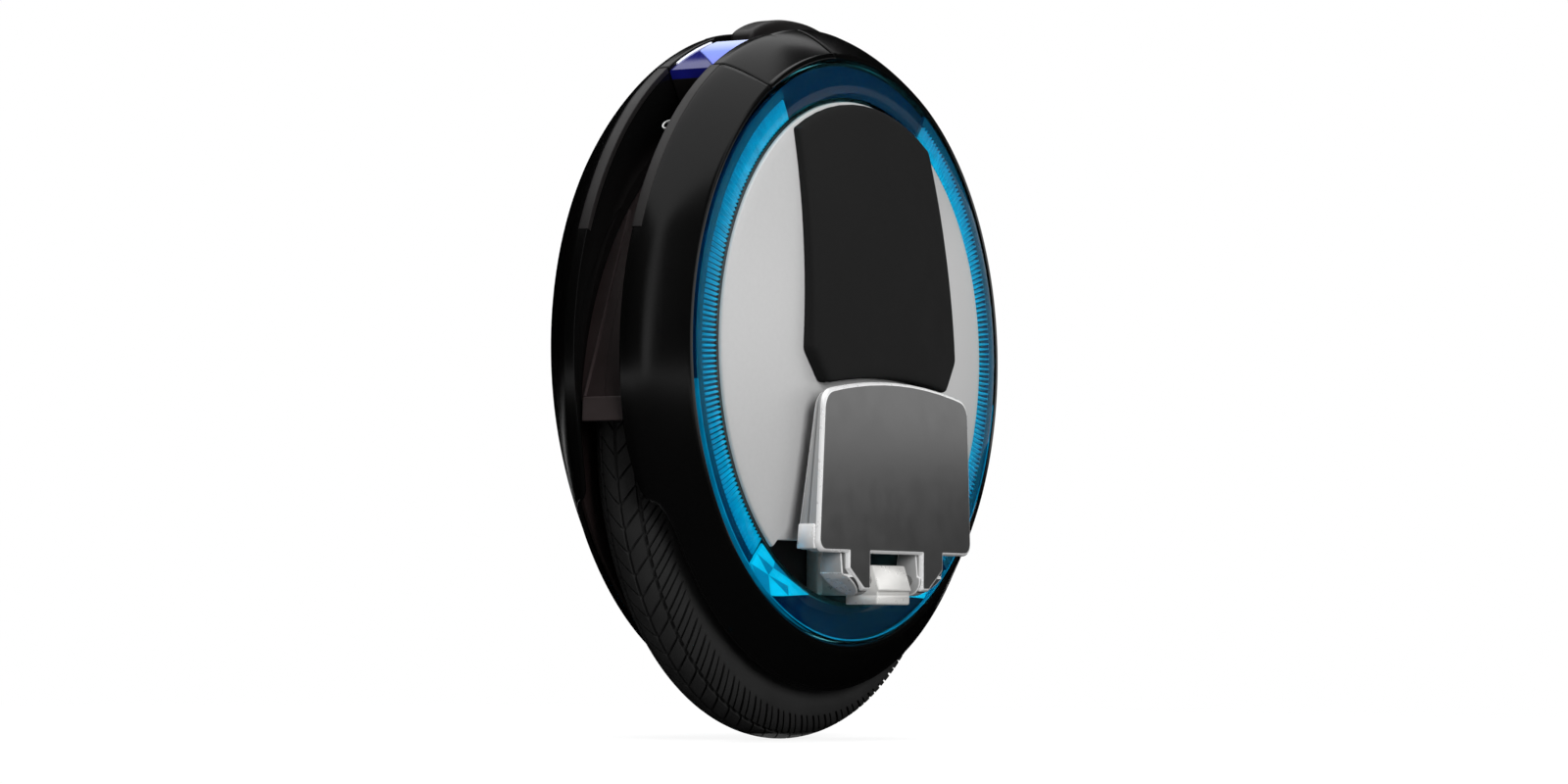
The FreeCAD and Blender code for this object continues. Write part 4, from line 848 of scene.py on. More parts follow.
def light_block():
    """The bright end of the light guide: facets above a level edge, where the LEDs shine in."""
    start = RIB_TO + 1
    level_edge = [(r, math.degrees(math.acos((BLOCK_LEVEL - RING_Z) / r)))
                  for r in (RIB_INNER, 180.0, BLOCK_OUTER)]
    # Both outlines are (radius, angle) points; the crests are the upper, the outer and the lower one
    rim = [(RIB_INNER, start), (RIB_INNER, 146.0), (RIB_INNER, 154.0), *level_edge, (BLOCK_OUTER, 143.0),
           (187.0, start), (178.5, start)]
    crests = [(176.0, 145.5), (182.5, 145.0), (176.5, 152.5)]
    points = []
    for x, spots in ((BLOCK_RIM, rim), (BLOCK_CREST, crests), (GUIDE_BACK, rim)):
        points += [round_spot(x, r, angle, RING_Z) for r, angle in spots]
    count = len(rim)
    back = count + len(crests)
    upper, outer, lower = range(count, back)
    facets = [(0, 1, upper), (1, 2, upper), (2, lower, upper), (2, 3, lower), (3, 4, lower),
              (4, outer, lower), (4, 5, outer), (5, 6, outer), (6, 7, outer), (7, 8, outer),
              (8, upper, outer), (8, 0, upper), (upper, lower, outer)]
    # The dimmer facets are painted shade
    painted_shade_facets = (1, 5, 7, 8, 10)
    sides = [(n, (n + 1) % count, back + (n + 1) % count, back + n) for n in range(count)]
    faces = facets + sides + [tuple(range(back, back + count))]
    block = new_piece("left_front_block", points, faces, bright_acrylic, shade_and_highlight_acrylic, sharp=BLOCK_SHARP)
    for number in painted_shade_facets:
        block.data.polygons[number].material_index = material_number(block, shade_and_highlight_acrylic)
    return block


def make_light_rings():
    """Lenses and light guides; the rear half of a guide mirrors its front half."""
    settle_pair(light_ring_lens(), "ring_lens", "left_light_ring")
    count = round((RIB_TO - RIB_FROM) / RIB_STEP)
    parts = [repeated(light_rib(), count, RIB_FROM, RIB_STEP, RING_Z, rib_acrylic, RIB_SHARP), light_block()]
    start = RIB_FROM - 1
    plate = rectangle(GUIDE_BACK, RIB_BASE + 0.2, RIB_INNER, RIB_OUTER)
    parts.append(sector_solid("left_front_plate", plate, RING_Z, start, RIB_TO, 100, gap_acrylic))
    band = rectangle(GUIDE_BACK, BAND_TOP, RIB_OUTER + 0.2, BAND_OUTER)
    parts.append(sector_solid("left_front_band", band, RING_Z, start, RIB_TO, 100, dark_acrylic))
    # The thin line along the outer edge is a painted highlight
    line = rectangle(GUIDE_BACK, LINE_TOP, LINE_INNER, LINE_OUTER)
    parts.append(sector_solid("left_front_line", line, RING_Z, LINE_FROM, 180, 80, shade_and_highlight_acrylic))
    parts += [mirrored(part, (0, 1, 0), part.name.replace("front", "rear")) for part in parts]
    settle_pair(combined("left_ring_guide", *parts), "guide_clear", "left_light_guide")


make_light_rings()


# Side panels: a shallow silver dome with a notch for the pedal hinge

NOTCH_LEVEL = 131.0
NOTCH_HALF = 100.0
NOTCH_CORNER = math.degrees(math.atan2(NOTCH_HALF, RING_Z - NOTCH_LEVEL))
PANEL_STEP = 1.5
PANEL_SKIRT = 3.5
PANEL_WALL = 1.5


def dome_x(y, z):
    """The dome's distance from the middle over a point."""
    away = math.hypot(y, z - RING_Z)
    return DOME_PEAK - DOME_R + math.sqrt(DOME_R ** 2 - away ** 2)


def panel_reach(angle):
    """How far the panel goes from its centre at an angle from the top."""
    from_bottom = abs((angle % 360) - 180)
    if from_bottom < NOTCH_CORNER:
        return (RING_Z - NOTCH_LEVEL) / math.cos(math.radians(from_bottom))
    return PANEL_R


def make_side_panels():
    """Columns of points from the dome's middle out over its edge to the skirt."""
    jump = 0.01
    turns = [180 + side * NOTCH_CORNER + shift for side in (-1, 1) for shift in (-jump, jump)]
    angles = spread_angles(0, 360, PANEL_STEP, *turns)[:-1]
    shares = [0.02, 0.15, 0.3, 0.45, 0.6, 0.75, 0.88, 0.96]
    points = []
    for angle in angles:
        reach = panel_reach(angle)
        column = [(share * reach, 0.0) for share in shares]
        column += [(reach - 1.1, 0.0), (reach - 0.4, -0.25), (reach, -1.0), (reach, -PANEL_SKIRT),
                   (reach - 2.0, -PANEL_SKIRT)]
        for away, drop in column:
            _, y, z = round_spot(0, away, angle, RING_Z)
            points.append((dome_x(y, z) + drop, y, z))
    count = len(angles)
    width = len(points) // count
    tip = len(points)
    points.append((DOME_PEAK, 0, RING_Z))
    faces = grid_faces(count, width, round_rows=True)
    faces += [(tip, n * width, (n + 1) % count * width) for n in range(count)]
    left_panel = new_piece("left_side_panel_skin", points, faces, silver_painted_abs, sharp=40)
    settle_pair(add_wall(left_panel, PANEL_WALL), "panel_silver", "left_side_panel")


make_side_panels()


# Leg pads: crowned foam with soft edges, lying on the panel's dome

PAD_GAP = 2.2
PAD_HALF = 92.0
PAD_TOP_HALF = 84.0
PAD_FOOT_HALF = 76.0
PAD_CORNER_Z = 254.5
PAD_TOP_R = 165.4
PAD_THICKNESS = 10.3
PAD_CROWN_Z = RING_Z - 20.0
PAD_MIDDLE_Z = 325.0
PAD_UNDER = 0.04
PAD_CORNER = 8.0
PAD_FOOT_CORNER = 6.0
PAD_BEND = 3.0
PAD_EDGE_STEP = 4.0


def pad_x(y, z, share):
    """A layer of the pad between the panel's dome and the pad's own crowned face."""
    away = math.hypot(y, z - PAD_CROWN_Z)
    face = DOME_PEAK - DOME_R + math.sqrt((DOME_R + PAD_THICKNESS) ** 2 - away ** 2)
    return dome_x(y, z) * (1 - share) + face * share


def rounded_outline(corners, steps):
    """Points of a closed outline of (y, z, rounding) corners."""
    points = []
    count = len(corners)
    for n, (y, z, rounding) in enumerate(corners):
        here = Vector((y, z))
        before = (Vector(corners[n - 1][:2]) - here).normalized()
        after = (Vector(corners[(n + 1) % count][:2]) - here).normalized()
        half = before.angle(after) / 2
        reach = rounding / math.tan(half)
        middle = here + (before + after).normalized() * (rounding / math.sin(half))
        first = here + before * reach - middle
        sweep = first.angle_signed(here + after * reach - middle)
        for turn in evenly(0, -sweep, steps):
            spot = first.copy()
            spot.rotate(Matrix.Rotation(turn, 2))
            points.append(tuple(middle + spot))
    return points


def fine_outline(points, longest):
    """The same outline with long stretches divided."""
    fine = []
    for n, spot in enumerate(points):
        here = Vector(spot)
        following = Vector(points[(n + 1) % len(points)])
        parts = max(math.ceil((following - here).length / longest), 1)
        fine += [tuple(here.lerp(following, part / parts)) for part in range(parts)]
    return fine


def pedal_arch(y):
    """Height of the folded pedal's arched tip."""
    return PEDAL_TOP + PEDAL_CROWN * (1 - (y / PEDAL_TIP_HALF) ** 2)


def pad_outline():
    """The pad's edge: over the pedal's tip, out to two corners and up to the panel's round top."""
    corners = []
    for y in evenly(-PAD_FOOT_HALF, PAD_FOOT_HALF, 10):
        bend = PAD_FOOT_CORNER if abs(y) == PAD_FOOT_HALF else PAD_BEND
        corners.append((y, pedal_arch(y) + PAD_GAP, bend))
    corners.append((PAD_HALF, PAD_CORNER_Z, PAD_CORNER))
    for y in evenly(PAD_TOP_HALF, -PAD_TOP_HALF, 12):
        corners.append((y, RING_Z + math.sqrt(PAD_TOP_R ** 2 - y ** 2), PAD_BEND))
    corners.append((-PAD_HALF, PAD_CORNER_Z, PAD_CORNER))
    return fine_outline(rounded_outline(corners, 4), PAD_EDGE_STEP)


def make_leg_pads():
    """Loops of points from under the pad's edge, up round it and over its face."""
    edge = [Vector(spot) for spot in pad_outline()]
    centre = Vector((0.0, PAD_MIDDLE_Z))
    # How far each loop is drawn in from the edge, and its share of the pad's thickness
    loops = [(2.5, PAD_UNDER), (0.5, PAD_UNDER), (0.3, 0.25), (0.7, 0.45), (0.4, 0.62), (0.7, 0.78),
             (1.4, 0.89), (2.5, 0.95), (4.2, 0.985), (7.0, 1.0), (14.0, 1.0), (28.0, 1.0)]
    inner_rings = (0.66, 0.42, 0.2)
    points = []
    for inset, share in loops:
        for spot in edge:
            y, z = spot + (centre - spot).normalized() * inset
            points.append((pad_x(y, z, share), y, z))
    for scale in inner_rings:
        for spot in edge:
            y, z = centre + (spot - centre) * scale
            points.append((pad_x(y, z, 1.0), y, z))
    count = len(edge)
    rows = len(loops) + len(inner_rings)
    top, under = len(points), len(points) + 1
    points += [(pad_x(*centre, share), *centre) for share in (1.0, PAD_UNDER)]
    faces = grid_faces(rows, count, round_columns=True)
    for tip, first in ((top, (rows - 1) * count), (under, 0)):
        faces += [(tip, first + n, first + (n + 1) % count) for n in range(count)]
    left_pad = new_piece("left_leg_pad_foam", points, faces, skinned_foam, sharp=60)
    right_pad = settle_pair(left_pad, "pad_foam", "left_leg_pad")


make_leg_pads()


# Pedals: a painted cover with a polished edge, a tray, two hinge lugs and two bright shoes; the paler side
# walls are painted light and the bright edges partly a painted highlight

PEDAL_HALF = 100.0
PEDAL_CORNER = 7.0
PEDAL_TIP_CORNER = 12.0
PEDAL_TIP_BEND = 2.0
PEDAL_ROOT_DEPTH = 18.0
PEDAL_TIP_DEPTH = 7.0
PEDAL_PARTING = 0.5
TRAY_INSET = 1.4
TRAY_OVERLAP = 1.0
TAB_FROM = 33.0
TAB_TO = 62.0
TAB_TOE = 43.0
TAB_BOTTOM = 99.0
TAB_SLANT_Z = 113.0
TAB_BEND = 1.0
LUG_FROM = 32.0
LUG_TO = 65.0
LUG_R = 10.0
LUG_TOP = PEDAL_BOTTOM + 8.0
LUG_CUT = (0.49, -0.87)
SHOE_FROM = PEDAL_HALF - 5.0
SHOE_TO = PEDAL_HALF + 0.5
SHOE_BOTTOM = 125.5
SHOE_TOP = 141.5
SHOE_FACE_X = 86.0
SHOE_FOOT_X = 72.5
SHOE_BACK_X = 73.8
PIN_R = 4.0
PIN_END = 46.0


def tread_x(z):
    """The tread face's distance from the middle at a height, with the pedal folded."""
    rise = (z - PEDAL_BOTTOM) / (PEDAL_TOP - PEDAL_BOTTOM)
    return PEDAL_X - PEDAL_ROOT_DEPTH + (PEDAL_ROOT_DEPTH - PEDAL_TIP_DEPTH) * rise


def parting_x(z):
    """Where the cover ends and the tray begins, between the outer face and the tread face."""
    return PEDAL_X - (PEDAL_X - tread_x(z)) * PEDAL_PARTING


def pedal_edge(inset, tabs=False):
    """The pedal's outline, drawn in by an inset: an arched tip and, on the cover, two tabs over the hinge."""
    low = PEDAL_BOTTOM + inset
    top = PEDAL_TOP - inset
    foot = PEDAL_HALF - inset
    tip = PEDAL_TIP_HALF - inset
    corners = [(-foot, low, PEDAL_CORNER)]
    if tabs:
        end = TAB_BOTTOM + inset
        slant = TAB_SLANT_Z + inset / 2
        inner, outer, toe = TAB_FROM + inset, TAB_TO - inset, TAB_TOE - inset / 2
        tab = [(outer, low), (outer, slant), (toe, end), (inner, end), (inner, low)]
        corners += [(-y, z, TAB_BEND) for y, z in tab] + [(y, z, TAB_BEND) for y, z in reversed(tab)]
    corners += [(foot, low, PEDAL_CORNER), (tip, top, PEDAL_TIP_CORNER)]
    for y in evenly(tip, -tip, 10)[1:-1]:
        corners.append((y, top + PEDAL_CROWN * (1 - (y / tip) ** 2), PEDAL_TIP_BEND))
    corners.append((-tip, top, PEDAL_TIP_CORNER))
    return rounded_outline(corners, 6)


def pedal_cover():
    """The painted cover: a flat face inside a bright rounded edge."""
    # How far each loop is drawn in, and how far it lies below the outer face
    loops = [(0.0, 2.6), (0.4, 1.3), (1.1, 0.4), (2.1, 0.0), (2.5, 0.0)]
    points = [(parting_x(z), y, z) for y, z in pedal_edge(0.0, True)]
    count = len(points)
    for inset, drop in loops:
        points += [(PEDAL_X - drop, y, z) for y, z in pedal_edge(inset, True)]
    faces = tube_faces(len(loops) + 1, count)
    # The near-white rounded edge is polish and partly a painted highlight
    cover = new_piece("pedal_cover", points, faces, polish_and_highlight_alloy, grey_painted_alloy, painted_light_side_alloy)
    paint_faces(cover, grey_painted_alloy, lambda normal: normal.x > 0.98)
    # The paler side walls are painted light
    paint_faces(cover, painted_light_side_alloy, lambda normal: normal.x < 0.2)
    return cover


def cut_corner(piece, spot, normal):
    """Cut a piece with a plane, drop what lies beyond it and close the cut."""
    solid = bmesh.new()
    solid.from_mesh(piece.data)
    whole = solid.verts[:] + solid.edges[:] + solid.faces[:]
    made = bmesh.ops.bisect_plane(solid, geom=whole, plane_co=Vector(spot) * MM, plane_no=normal,
                                  clear_outer=True)
    rim = [item for item in made["geom_cut"] if isinstance(item, bmesh.types.BMEdge)]
    bmesh.ops.holes_fill(solid, edges=rim, sides=0)
    bmesh.ops.recalc_face_normals(solid, faces=solid.faces)
    solid.to_mesh(piece.data)
    solid.free()


def stands_across(normal):
    """Whether a face stands across X, as the side walls do."""
    return abs(normal.x) < 0.6


def pedal_lug(side):
    """One hinge lug, cut off on a slant below; the cut is polished, and its near-white colour is a painted
    highlight on a face turned down.
    """
    section = [(PEDAL_X - 5, LUG_TOP), (PEDAL_X - 3, HINGE_Z + 3)]
    section += arc_points(HINGE_X, HINGE_Z, LUG_R, 15, -165, 14)
    section += [(HINGE_X - LUG_R, HINGE_Z), (HINGE_X - LUG_R + 3.5, LUG_TOP)]
    lug = prism("pedal_lug", section, *sorted((side * LUG_FROM, side * LUG_TO)), grey_painted_alloy,
                painted_light_side_alloy, polish_and_highlight_alloy)
    cut_corner(lug, (HINGE_X, side * LUG_TO, HINGE_Z + 4), (0, side * LUG_CUT[0], LUG_CUT[1]))
    # The lug's paler side walls are painted light
    paint_faces(lug, painted_light_side_alloy, stands_across)
    paint_faces(lug, polish_and_highlight_alloy, lambda normal: normal.z < -0.8 and side * normal.y > 0.4)
    return soften(lug, 1.6, 3, polish_and_highlight_alloy)


def pedal_shoe(side):
    """One bright shoe at the foot of the pedal's side wall: polished, and partly a painted highlight."""
    section = [(SHOE_FOOT_X, SHOE_BOTTOM), (SHOE_FACE_X, SHOE_BOTTOM), (SHOE_FACE_X, SHOE_TOP),
               (SHOE_BACK_X, SHOE_TOP)]
    shoe = prism("pedal_shoe", section, *sorted((side * SHOE_FROM, side * SHOE_TO)), polish_and_highlight_alloy)
    return soften(shoe, 0.8, 2)


def make_pedals():
    """Each pedal as one casting, and the hinge pins."""
    tray = slab("pedal_tray", pedal_edge(TRAY_INSET), lambda z: parting_x(z) + TRAY_OVERLAP, tread_x,
                grey_painted_alloy, painted_light_side_alloy, polish_and_highlight_alloy)
    # The tray's paler side walls are painted light
    paint_faces(tray, painted_light_side_alloy, stands_across)
    parts = [pedal_cover(), soften(tray, 1.0, 2, polish_and_highlight_alloy)]
    for side in (-1, 1):
        parts += [pedal_lug(side), pedal_shoe(side)]
    left_pedal = combined("left_pedal_casting", *parts)
    settle_pair(left_pedal, "pedal_alloy", "left_pedal", body="left_footrest")
    ring = arc_points(HINGE_X, HINGE_Z, PIN_R, 0, 360, 24)[:-1]
    pin = prism("left_hinge_pin", ring, -PIN_END, PIN_END, machined_steel)
    settle_pair(pin, "fastener_steel")
    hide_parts("pedal_hinge_pins")


make_pedals()


# Handle: an arched bar on two posts

HANDLE_HALF = 59.5
HANDLE_POST = 10.0
HANDLE_ARCH = 233.0
HANDLE_DEPTH = 22.0
HANDLE_FALL = 6.0
HANDLE_SIDE = 9.0
HANDLE_FOOT = 421.8


def make_handle():
    """The bar's side view, with the grip space left out below, given its width."""
    under = HANDLE_ARCH - HANDLE_DEPTH
    opening = HANDLE_HALF - HANDLE_POST
    edge = []
    for y in evenly(-HANDLE_HALF, HANDLE_HALF, 24):
        slope = HANDLE_FALL * abs(y / HANDLE_HALF) ** 3
        edge.append((y, SHELL_Z + math.sqrt(HANDLE_ARCH ** 2 - y ** 2) - slope))
    edge += [(HANDLE_HALF, HANDLE_FOOT), (opening, HANDLE_FOOT)]
    edge += [(y, SHELL_Z + math.sqrt(under ** 2 - y ** 2)) for y in evenly(opening, -opening, 20)]
    edge += [(-opening, HANDLE_FOOT), (-HANDLE_HALF, HANDLE_FOOT)]
    bar = slab("handle_bar", edge, lambda z: HANDLE_SIDE, lambda z: -HANDLE_SIDE, textured_black_abs)
    settle(soften(bar, 4.0, 4), "chassis", "handle_plastic", "handle")


make_handle()


# Lamps in the slot

LAMP_FROM = 18.3
LAMP_TO = 32.3
LAMP_SIDE = 16.6
LAMP_FLOOR = 216.2
LAMP_SHOULDER = 222.0
LAMP_FACE = 222.9
LAMP_RIM_TOP = 223.8
LAMP_RIM_WIDTH = 1.2
TAIL_SHOULDER = 222.6
TAIL_FACE = 223.8
WINDOW_NEAR = 16.2
WINDOW_FAR = -11.0
WINDOW_EDGE = 223.6
WINDOW_TOP = 223.9


def lamp_section(shoulder, face, left_cut, right_cut):
    """A lamp's section across the slot: flat faced, with its upper edges cut off."""
    return [(-LAMP_SIDE, LAMP_FLOOR), (LAMP_SIDE, LAMP_FLOOR), (LAMP_SIDE, shoulder),
            (LAMP_SIDE - left_cut, face), (right_cut - LAMP_SIDE, face), (-LAMP_SIDE, shoulder)]


def lamp_window():
    """The pale window: it covers the lamp towards the rider's left and is cut off on a slant below."""
    first, bend, last = LAMP_FROM + 0.4, LAMP_TO - 8.2, LAMP_TO - 0.8
    steps = 14
    points = []
    for angle in evenly(first, last, steps):
        slant = max((angle - bend) / (last - bend), 0.0)
        far = WINDOW_FAR + (WINDOW_NEAR - 1.0 - WINDOW_FAR) * slant
        section = ((far, LAMP_SHOULDER), (far, WINDOW_EDGE), (far + 0.4, WINDOW_TOP),
                   (WINDOW_NEAR, WINDOW_TOP), (WINDOW_NEAR, LAMP_SHOULDER))
        points += [round_spot(x, r, angle, SHELL_Z) for x, r in section]
    return new_piece("lamp_window", points, tube_faces(steps + 1, 5), lit_headlight)


def make_lamps():
    """The headlight's body, rim and window, and the tail light."""
    section = lamp_section(LAMP_SHOULDER, LAMP_FACE, 1.0, 1.0)
    body = sector_solid("lamp_body", section, SHELL_Z, LAMP_FROM, LAMP_TO, 24, deep_blue_acrylic)
    rim = rectangle(-LAMP_SIDE, LAMP_RIM_WIDTH - LAMP_SIDE, LAMP_SHOULDER, LAMP_RIM_TOP)
    far_rim = sector_solid("lamp_rim", rim, SHELL_Z, LAMP_FROM, LAMP_TO - 2.5, 12, white_acrylic)
    headlight = combined("headlight_window", body, far_rim, lamp_window())
    settle(headlight, "chassis", "headlight_clear", "headlight_lens")
    tail_section = lamp_section(TAIL_SHOULDER, TAIL_FACE, 1.4, 1.0)
    tail = sector_solid("tail_light_window", tail_section, SHELL_Z, -LAMP_TO, -LAMP_FROM, 24, red_acrylic)
    settle(tail, "chassis", "tail_red", "tail_light_lens")


make_lamps()


# Mudguard: the lip where it ends in the slot, and a low ridge over its crown, whose paler colour is a painted
# highlight

GUARD_LIP_SIDE = 15.8
GUARD_LIP_LOW = 212.5
GUARD_LIP_HIGH = 217.5
GUARD_LIP_FROM = 85.6
GUARD_LIP_TO = 89.7
# Three (angle, x) points that the ridge goes through
CROWN_RIDGE = ((49.9, -15.5), (69.4, -7.3), (85.5, -14.7))
RIDGE_FOOT = 215.4
RIDGE_TOP = 217.4


def ridge_x(angle):
    """The ridge's distance from the middle: a parabola through its three points."""
    total = 0.0
    for here, x in CROWN_RIDGE:
        share = x
        for other, _ in CROWN_RIDGE:
            if other != here:
                share *= (angle - other) / (here - other)
        total += share
    return total


def make_mudguard_details():
    """A greyer lip at the guard's lower end and a ridge along its crown, paler as a painted highlight."""
    lip = rectangle(-GUARD_LIP_SIDE, GUARD_LIP_SIDE, GUARD_LIP_LOW, GUARD_LIP_HIGH)
    lip_piece = sector_solid("mudguard_lip", lip, AXLE_Z, GUARD_LIP_FROM, GUARD_LIP_TO, 4, pale_and_highlight_polypropylene)
    settle(soften(lip_piece, 0.8, 2), "chassis", "frame_plastic")
    steps = 30
    section = ((-1.2, RIDGE_FOOT), (-0.4, RIDGE_TOP), (0.4, RIDGE_TOP), (1.2, RIDGE_FOOT))
    points = []
    for angle in evenly(CROWN_RIDGE[0][0], CROWN_RIDGE[2][0], steps):
        points += [round_spot(ridge_x(angle) + x, r, angle, AXLE_Z) for x, r in section]
    # The ridge's paler colour is a painted highlight along the crown
    ridge = new_piece("mudguard_ridge", points, tube_faces(steps + 1, 4), pale_and_highlight_polypropylene)
    settle(ridge, "chassis", "frame_plastic")


make_mudguard_details()


# Pedal brackets: a bright cast arm whose face shows between the pedal's lugs

BRACKET_FOOT = 96.0
PLATE_BACK = 34.0
PLATE_FRONT = 44.0
PLATE_TOP = 229.0
PLATE_HALF = 26.0
ARM_BACK = PLATE_FRONT - 1.0
ARM_TOP = 116.0
ARM_HALF = 21.0
ARM_END = 86.5
ARM_NOSE = (88.0, 99.5)
ARM_SHOULDER = 82.5
LIP_BACK = 62.0
LIP_BOTTOM = 90.0
LIP_TOP = BRACKET_FOOT + 0.5


def make_brackets():
    """A plate inside the shell, an arm to the hinge and a lip under it."""
    plate = rectangle(PLATE_BACK, PLATE_FRONT, BRACKET_FOOT, PLATE_TOP)
    arm = [(ARM_BACK, BRACKET_FOOT), (ARM_END, BRACKET_FOOT), (ARM_END, BRACKET_FOOT + 2.5), ARM_NOSE,
           (ARM_SHOULDER, ARM_TOP), (ARM_BACK, ARM_TOP)]
    lip = [(LIP_BACK, LIP_BOTTOM), (ARM_END - 1, LIP_BOTTOM), (ARM_END, LIP_BOTTOM + 1), (ARM_END, LIP_TOP),
           (LIP_BACK, LIP_TOP)]
    forms = (("bracket_plate", plate, PLATE_HALF, 1.5), ("bracket_arm", arm, ARM_HALF, 1.2),
             ("bracket_lip", lip, ARM_HALF, 0.8))
    parts = [soften(prism(name, section, -half, half, bare_cast_alloy), rounding)
             for name, section, half, rounding in forms]
    settle_pair(combined("left_bracket_casting", *parts), "pedal_alloy", "left_pedal_bracket")


make_brackets()


# Pieces that keep their CAD shape get their finish

CAD_FINISHES = {
    textured_black_abs: ["handle_well", "rear_console", "charge_socket", "headlight_housing",
                         "tail_light_housing", "motor_plug", "power_button"],
    dark_polypropylene: ["left_inner_frame", "right_inner_frame"],
    soft_rubber: ["inner_tube", "shaft_seals", "left_pedal_grip", "right_pedal_grip", "charge_cap",
                  "motor_cable"],
    machined_steel: ["motor_cover_bolts", "axle_washers", "axle_nuts", "bracket_bolts", "shell_screws",
                     "charge_cap_pin", "left_bearing", "right_bearing", "axle"],
    valve_brass: ["valve_stem"],
    dark_anodised_alloy: ["rim", "left_motor_cover", "right_motor_cover", "stator_hub", "heat_sink"],
    motor_iron: ["magnet_ring", "stator_core"],
    enamelled_copper: ["stator_windings"],
    navy_circuit_board: ["left_led_board", "right_led_board", "control_board"],
    blue_shrink_film: ["battery_pack", "capacitors"],
    chromed_wire: ["strap_eyelet"],
}
for material, names in CAD_FINISHES.items():
    for name in names:
        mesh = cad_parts[name].data
        mesh.materials.clear()
        mesh.materials.append(material)


# Floor, light and camera: places and sizes here are in metres

FLOOR_HALF = 9.0
SHADOW_FULL = 0.35
SHADOW_GONE = 1.1
OBJECT_MIDDLE = (0, 0, 0.25)


def in_plain_view(tree):
    """1 for rays that show the surround itself: from the camera, through glass or off a gloss."""
    path = add_node(tree, "ShaderNodeLightPath")
    direct = add_node(tree, "ShaderNodeMath", {
        0: path.outputs["Is Camera Ray"], 1: path.outputs["Is Transmission Ray"]}, operation="MAXIMUM")
    shown = add_node(tree, "ShaderNodeMath", {0: direct.outputs[0], 1: path.outputs["Is Glossy Ray"]},
                     operation="MAXIMUM")
    return shown.outputs[0]


def flat_piece(name, corners, material):
    """A flat piece of the stage over four corners."""
    piece = new_piece(name, [Vector(corner) / MM for corner in corners], [(0, 1, 2, 3)], material)
    return piece


def make_floor():
    """A white floor that keeps the contact shadow near the wheel and runs out into plain white."""
    white, tree = new_material("white_floor")
    coords = add_node(tree, "ShaderNodeTexCoord").outputs["Object"]
    away = add_node(tree, "ShaderNodeVectorMath", {0: coords}, operation="LENGTH").outputs["Value"]
    fade = add_node(tree, "ShaderNodeMapRange", {
        "Value": away, "From Min": SHADOW_FULL, "From Max": SHADOW_GONE}, interpolation_type="SMOOTHSTEP")
    matt = add_node(tree, "ShaderNodeBsdfDiffuse", {"Color": colour("#8A8A8A")})
    shown = in_plain_view(tree)
    near_glow = add_node(tree, "ShaderNodeEmission", {"Color": colour("#EAEAEA"), "Strength": shown})
    far_glow = add_node(tree, "ShaderNodeEmission", {"Color": colour("#FFFFFF"), "Strength": shown})
    near = add_node(tree, "ShaderNodeAddShader", {0: matt.outputs[0], 1: near_glow.outputs[0]})
    mixed = add_node(tree, "ShaderNodeMixShader", {
        0: fade.outputs["Result"], 1: near.outputs[0], 2: far_glow.outputs[0]})
    add_node(tree, "ShaderNodeOutputMaterial", {"Surface": mixed.outputs[0]})
    corners = [(x, y, 0) for x, y in rectangle(-FLOOR_HALF, FLOOR_HALF, -FLOOR_HALF, FLOOR_HALF)]
    flat_piece("floor", corners, white)


def make_world():
    """A white surround for the camera, glossy and clear surfaces, and a dim one for the rest."""
    world = bpy.data.worlds.new("studio")
    bpy.context.scene.world = world
    world.use_nodes = True
    tree = world.node_tree
    tree.nodes.clear()
    dim = add_node(tree, "ShaderNodeBackground", {"Color": colour("#FFFFFF"), "Strength": 0.35})
    white = add_node(tree, "ShaderNodeBackground", {"Color": colour("#FFFFFF"), "Strength": 1.0})
    mixed = add_node(tree, "ShaderNodeMixShader", {
        0: in_plain_view(tree), 1: dim.outputs[0], 2: white.outputs[0]})
    add_node(tree, "ShaderNodeOutputWorld", {"Surface": mixed.outputs[0]})


def facing(place, aim):
    """The turn that points -Z from a place towards an aim."""
    return (Vector(aim) - Vector(place)).to_track_quat("-Z", "Y")


def softbox(name, place, width, height, power):
    """A soft studio lamp aimed at the object."""
    lamp = bpy.data.lights.new(name, "AREA")
    lamp.shape = "RECTANGLE"
    lamp.size = width
    lamp.size_y = height
    lamp.energy = power
    box = placed(name, lamp)
    box.location = place
    box.rotation_euler = facing(place, OBJECT_MIDDLE).to_euler()
    box.visible_glossy = False


def matt_black():
    """Black flocked card, which gives back almost no light."""
    made, tree = new_material("black_card")
    matt = add_node(tree, "ShaderNodeBsdfDiffuse", {"Color": colour("#030303")})
    add_node(tree, "ShaderNodeOutputMaterial", {"Surface": matt.outputs["BSDF"]})
    return made


card_black = matt_black()


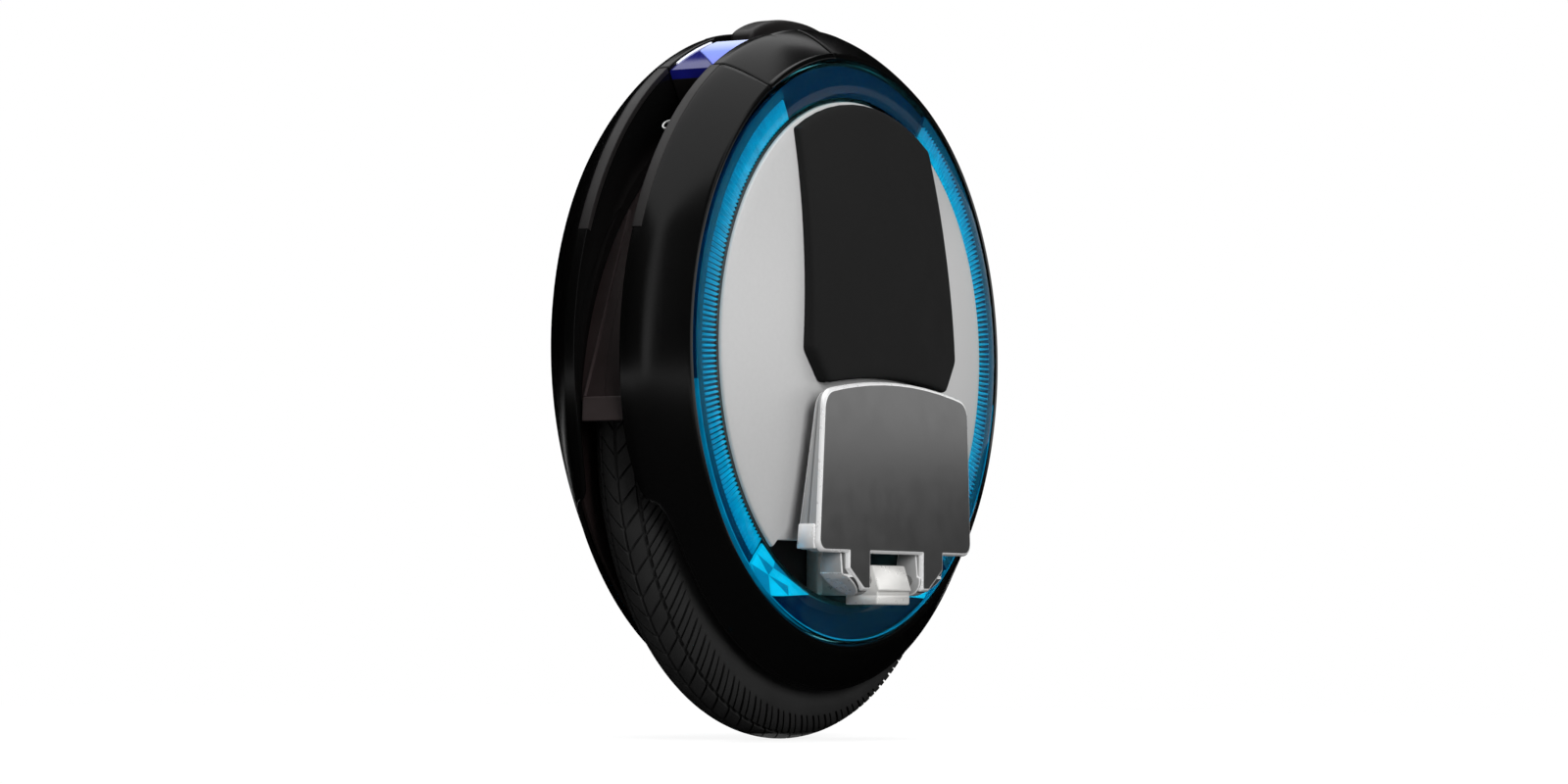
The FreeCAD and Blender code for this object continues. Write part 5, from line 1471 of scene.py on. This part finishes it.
def black_card(name, place, aim, width, height):
    """A black studio card that only reflections see; it keeps the polished black dark."""
    turn = facing(place, aim).to_matrix()
    outline = rectangle(-width / 2, width / 2, -height / 2, height / 2)
    card = flat_piece(name, [turn @ Vector((x, y, 0)) + Vector(place) for x, y in outline], card_black)
    card.visible_camera = False
    card.visible_diffuse = False
    card.visible_transmission = False
    card.visible_shadow = False


def make_camera():
    """The photograph's view: slightly below the middle, from the front and the rider's left."""
    azimuth = math.radians(31.9)
    elevation = math.radians(-2.9)
    distance = 3.0
    aim = Vector((-0.0003, 0.0, 0.2327))
    away = Vector((math.cos(elevation) * math.sin(azimuth), -math.cos(elevation) * math.cos(azimuth),
                   math.sin(elevation)))
    lens = bpy.data.cameras.new("photo_camera")
    lens.lens = 102.3
    lens.sensor_width = 36.0
    eye = placed("photo_camera", lens)
    roll = Matrix.Rotation(math.radians(0.5), 3, "Z")
    look = (-away).to_track_quat("-Z", "Y").to_matrix() @ roll
    eye.matrix_world = Matrix.Translation(aim + away * distance) @ look.to_4x4()
    bpy.context.scene.camera = eye


make_floor()
make_world()
softbox("top_softbox", (0.2, -0.2, 1.7), 1.2, 1.0, 16)
softbox("side_softbox", (1.75, -1.1, 0.9), 0.9, 1.2, 38)
softbox("fill_softbox", (-1.75, 0.9, 0.9), 0.9, 1.2, 30)
black_card("front_card", (-0.4, -3.4, 1.4), (0, 0, 1.4), 7.0, 5.0)
black_card("side_card", (3.3, -1.2, 1.2), (0, -1.2, 1.2), 3.6, 4.6)
black_card("back_card", (-1.9, 3.0, 1.2), (0, 0, 1.2), 5.0, 4.6)
black_card("far_card", (-3.3, -1.0, 1.2), (0, -1.0, 1.2), 5.0, 4.6)
black_card("floor_card", (-0.4, 0.4, 0.004), (-0.4, 0.4, 1.0), 4.0, 4.0)
black_card("pedal_card", (0.31, 0.36, 0.05), (0.09, 0, 0.05), 0.7, 0.31)
black_card("ring_card", (0.36, 0.45, 0.95), (0.055, 0, 0.95), 0.9, 1.0)
make_camera()

bpy.context.scene.view_settings.view_transform = "Standard"
